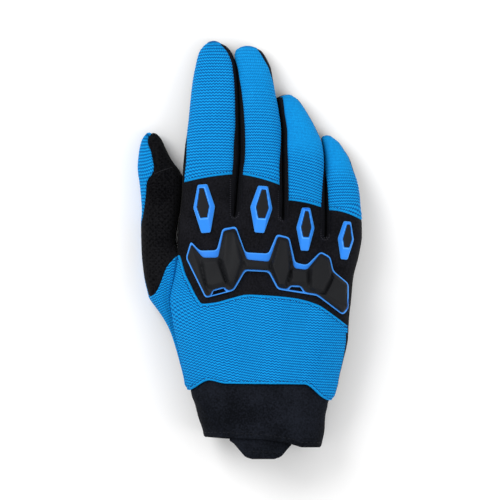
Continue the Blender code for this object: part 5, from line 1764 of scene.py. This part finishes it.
# %% Paths for the stitches
RAY_START = 0.004
all_sheets = {**blue_sheets, **plain_sheets}
all_pieces = {**blue_pieces, **plain_pieces}


def surface(piece):
    """A finished piece as a surface that rays can meet."""
    mesh = piece.data
    points = [vertex.co.copy() for vertex in mesh.vertices]
    return BVHTree.FromPolygons(points, [tuple(face.vertices) for face in mesh.polygons])


def inset_path(name, owner, inset):
    """Runs of places on a finished cloth, moved in from the border with one neighbour."""
    sheet, cloth = all_sheets[name], surface(all_pieces[name])
    paths = []
    for run in sheet.lines(owner):
        points, out = sheet.points[run], sheet.out[run]
        along = np.gradient(points, axis=0) if len(points) > 2 else points - points[::-1]
        inward = unit(np.cross(out, along))
        placed = []
        for place, normal in zip(points + inset * inward, out):
            hit = cloth.ray_cast(Vector(place + RAY_START * normal), Vector(-normal), 2 * RAY_START)[0]
            if hit is not None:
                placed.append((tuple(hit), tuple(normal)))
        if len(placed) > 3:
            paths.append(placed)
    return paths


def sew(name, paths, finish, slot, **sizes):
    """One mesh of threads along all the paths."""
    points, outs, edges = [], [], []
    for path in paths:
        start = len(points)
        points += [place for place, _ in path]
        outs += [normal for _, normal in path]
        edges += [(start + step, start + step + 1) for step in range(len(path) - 1)]
    mesh = new_mesh(name, points, edges=edges)
    put_attribute(mesh, "out", outs, "FLOAT_VECTOR")
    threads = run_tree(name, mesh, STITCHES, finish=finish, **sizes)
    return finished(name, threads, finish)


# %% Sew
hem_paths = []
for name in BLUE_NAMES:
    if name != "thumb_back":
        hem_paths += inset_path(name, "knuckle_panel", 0.0017)
sew("hem_stitches", hem_paths, BLUE_THREAD, "blue_cloth", spacing=0.0017, thread_length=0.0012,
    thread_width=0.00055)
sew("wrist_stitches", inset_path("hand_back", "cuff", 0.0014), BLUE_THREAD, "blue_cloth")
sew("cuff_stitches", inset_path("cuff", "open", 0.0026), CUFF_THREAD, "cuff_black", spacing=0.0026,
    thread_length=0.0019)

# %% [markdown]
# More lines of thread are drawn on the plan and laid on the cloth from above: the edge of the
# patch on the thumb's tip, the end of the tab, and the coarse overlock round each crotch,
# whose threads lie across the line.


# %% Lines drawn on the plan
PLAN_STEP = 0.0008


def laid_path(piece, plan):
    """Places on a piece straight under a line of the plan."""
    cloth, placed = surface(piece), []
    for start, end in zip(plan, plan[1:]):
        parts = max(1, round(math.dist(start, end) / PLAN_STEP))
        for part in range(parts):
            hit, normal = drop(cloth, *mix(np.array(start), np.array(end), part / parts))
            if hit is not None:
                placed.append((tuple(hit), tuple(normal)))
    return placed


PATCH_EDGE = [(-0.0521, 0.0423), (-0.0492, 0.0436), (-0.0460, 0.0447), (-0.0420, 0.0459)]
patch_path = laid_path(plain_pieces["thumb_palm"], PATCH_EDGE)
sew("thumb_patch_edge", [patch_path], BLACK_THREAD, "black_suede", spacing=0.0009, thread_length=0.0011,
    thread_width=0.0005)

TAB_LINE = [(-0.0022, -0.1106), (0.0168, -0.1110)]
sew("tab_stitches", [laid_path(tab, TAB_LINE)], CUFF_THREAD, "cuff_black", spacing=0.0022)

# %% Overlock round the crotches
LOOP_HALVES = (0.0012, 0.0023)
CROTCHES = [((-0.0083, 0.0200), 0.0190), ((0.0180, 0.0186), 0.0140), ((0.0415, 0.0081), 0.0120)]
loop_paths = []
for (x, y), reach in CROTCHES:
    for half in LOOP_HALVES:
        bend = [(x - half * math.cos(a), y - half * math.sin(a)) for a in np.linspace(0.0, math.pi, 9)]
        line = [(x - half, y + reach)] + bend + [(x + half, y + reach)]
        loop_paths.append(laid_path(plain_pieces["knuckle_panel"], line))
sew("crotch_overlock", loop_paths, LOOP_THREAD, "black_foam", spacing=0.0011, thread_length=0.0006,
    thread_width=0.0010, thread_height=0.0006)

# %% [markdown]
# ## Perforations
#
# The suede of the thumb is punched with rows of small holes that let the skin breathe. Every
# hole is a small cup set into the surface and painted near black, the painted shade inside the
# hole, copied by Geometry Nodes to a staggered grid.


# %% Holes
HOLE_PITCH = 0.0033
HOLE_MARGIN = 0.0030
STEEPEST_NORMAL = 0.35


def hole_tree():
    """Geometry Nodes that set a small cup at each point, to carry a hole's painted shade."""
    tree, given = open_tree("punched_holes", {"Radius": 0.00036, "Rim": 0.00010})
    out = named(tree, "out", "FLOAT_VECTOR")
    up = add_node(tree, "FunctionNodeAlignEulerToVector", {"Vector": out}, axis="Z").outputs[0]
    cup = {"Vertices": 10, "Radius": given["Radius"], "Depth": given["Rim"]}
    cup = add_node(tree, "GeometryNodeMeshCylinder", cup).outputs[0]
    placed = {"Points": given["Geometry"], "Instance": cup, "Rotation": up}
    placed = add_node(tree, "GeometryNodeInstanceOnPoints", placed).outputs[0]
    return close_tree(tree, given, placed)


HOLES = hole_tree()
# Painted shade: the cups are near black, as the shade inside a punched hole
HOLE_SHADE = grain_finish("punched_hole", (1, 1, 1), (3, 3, 3), 1500.0, 1.0, 0.0, 0.0, 0.00005)


def punched(name, piece, sheet):
    """Holes on a staggered grid over the upper side of a piece, clear of its border."""
    cloth = surface(piece)
    border = KDTree(len(sheet.border))
    for number, (a, _) in enumerate(sheet.border):
        border.insert(sheet.points[a], number)
    border.balance()
    low, high = sheet.points.min(axis=0), sheet.points.max(axis=0)
    points, outs = [], []
    for row, y in enumerate(np.arange(low[1], high[1], 0.5 * HOLE_PITCH)):
        for x in np.arange(low[0] + 0.5 * HOLE_PITCH * (row % 2), high[0], HOLE_PITCH):
            hit, normal = drop(cloth, x, y)
            if hit is not None and normal.z > STEEPEST_NORMAL and border.find(hit)[2] > HOLE_MARGIN:
                points.append(tuple(hit))
                outs.append(tuple(normal))
    grid = new_mesh(name, points)
    put_attribute(grid, "out", outs, "FLOAT_VECTOR")
    print(len(points), "holes")
    return finished(name, run_tree(name, grid, HOLES, finish=HOLE_SHADE), HOLE_SHADE)


punched("thumb_perforations", plain_pieces["thumb_palm"], plain_sheets["thumb_palm"])
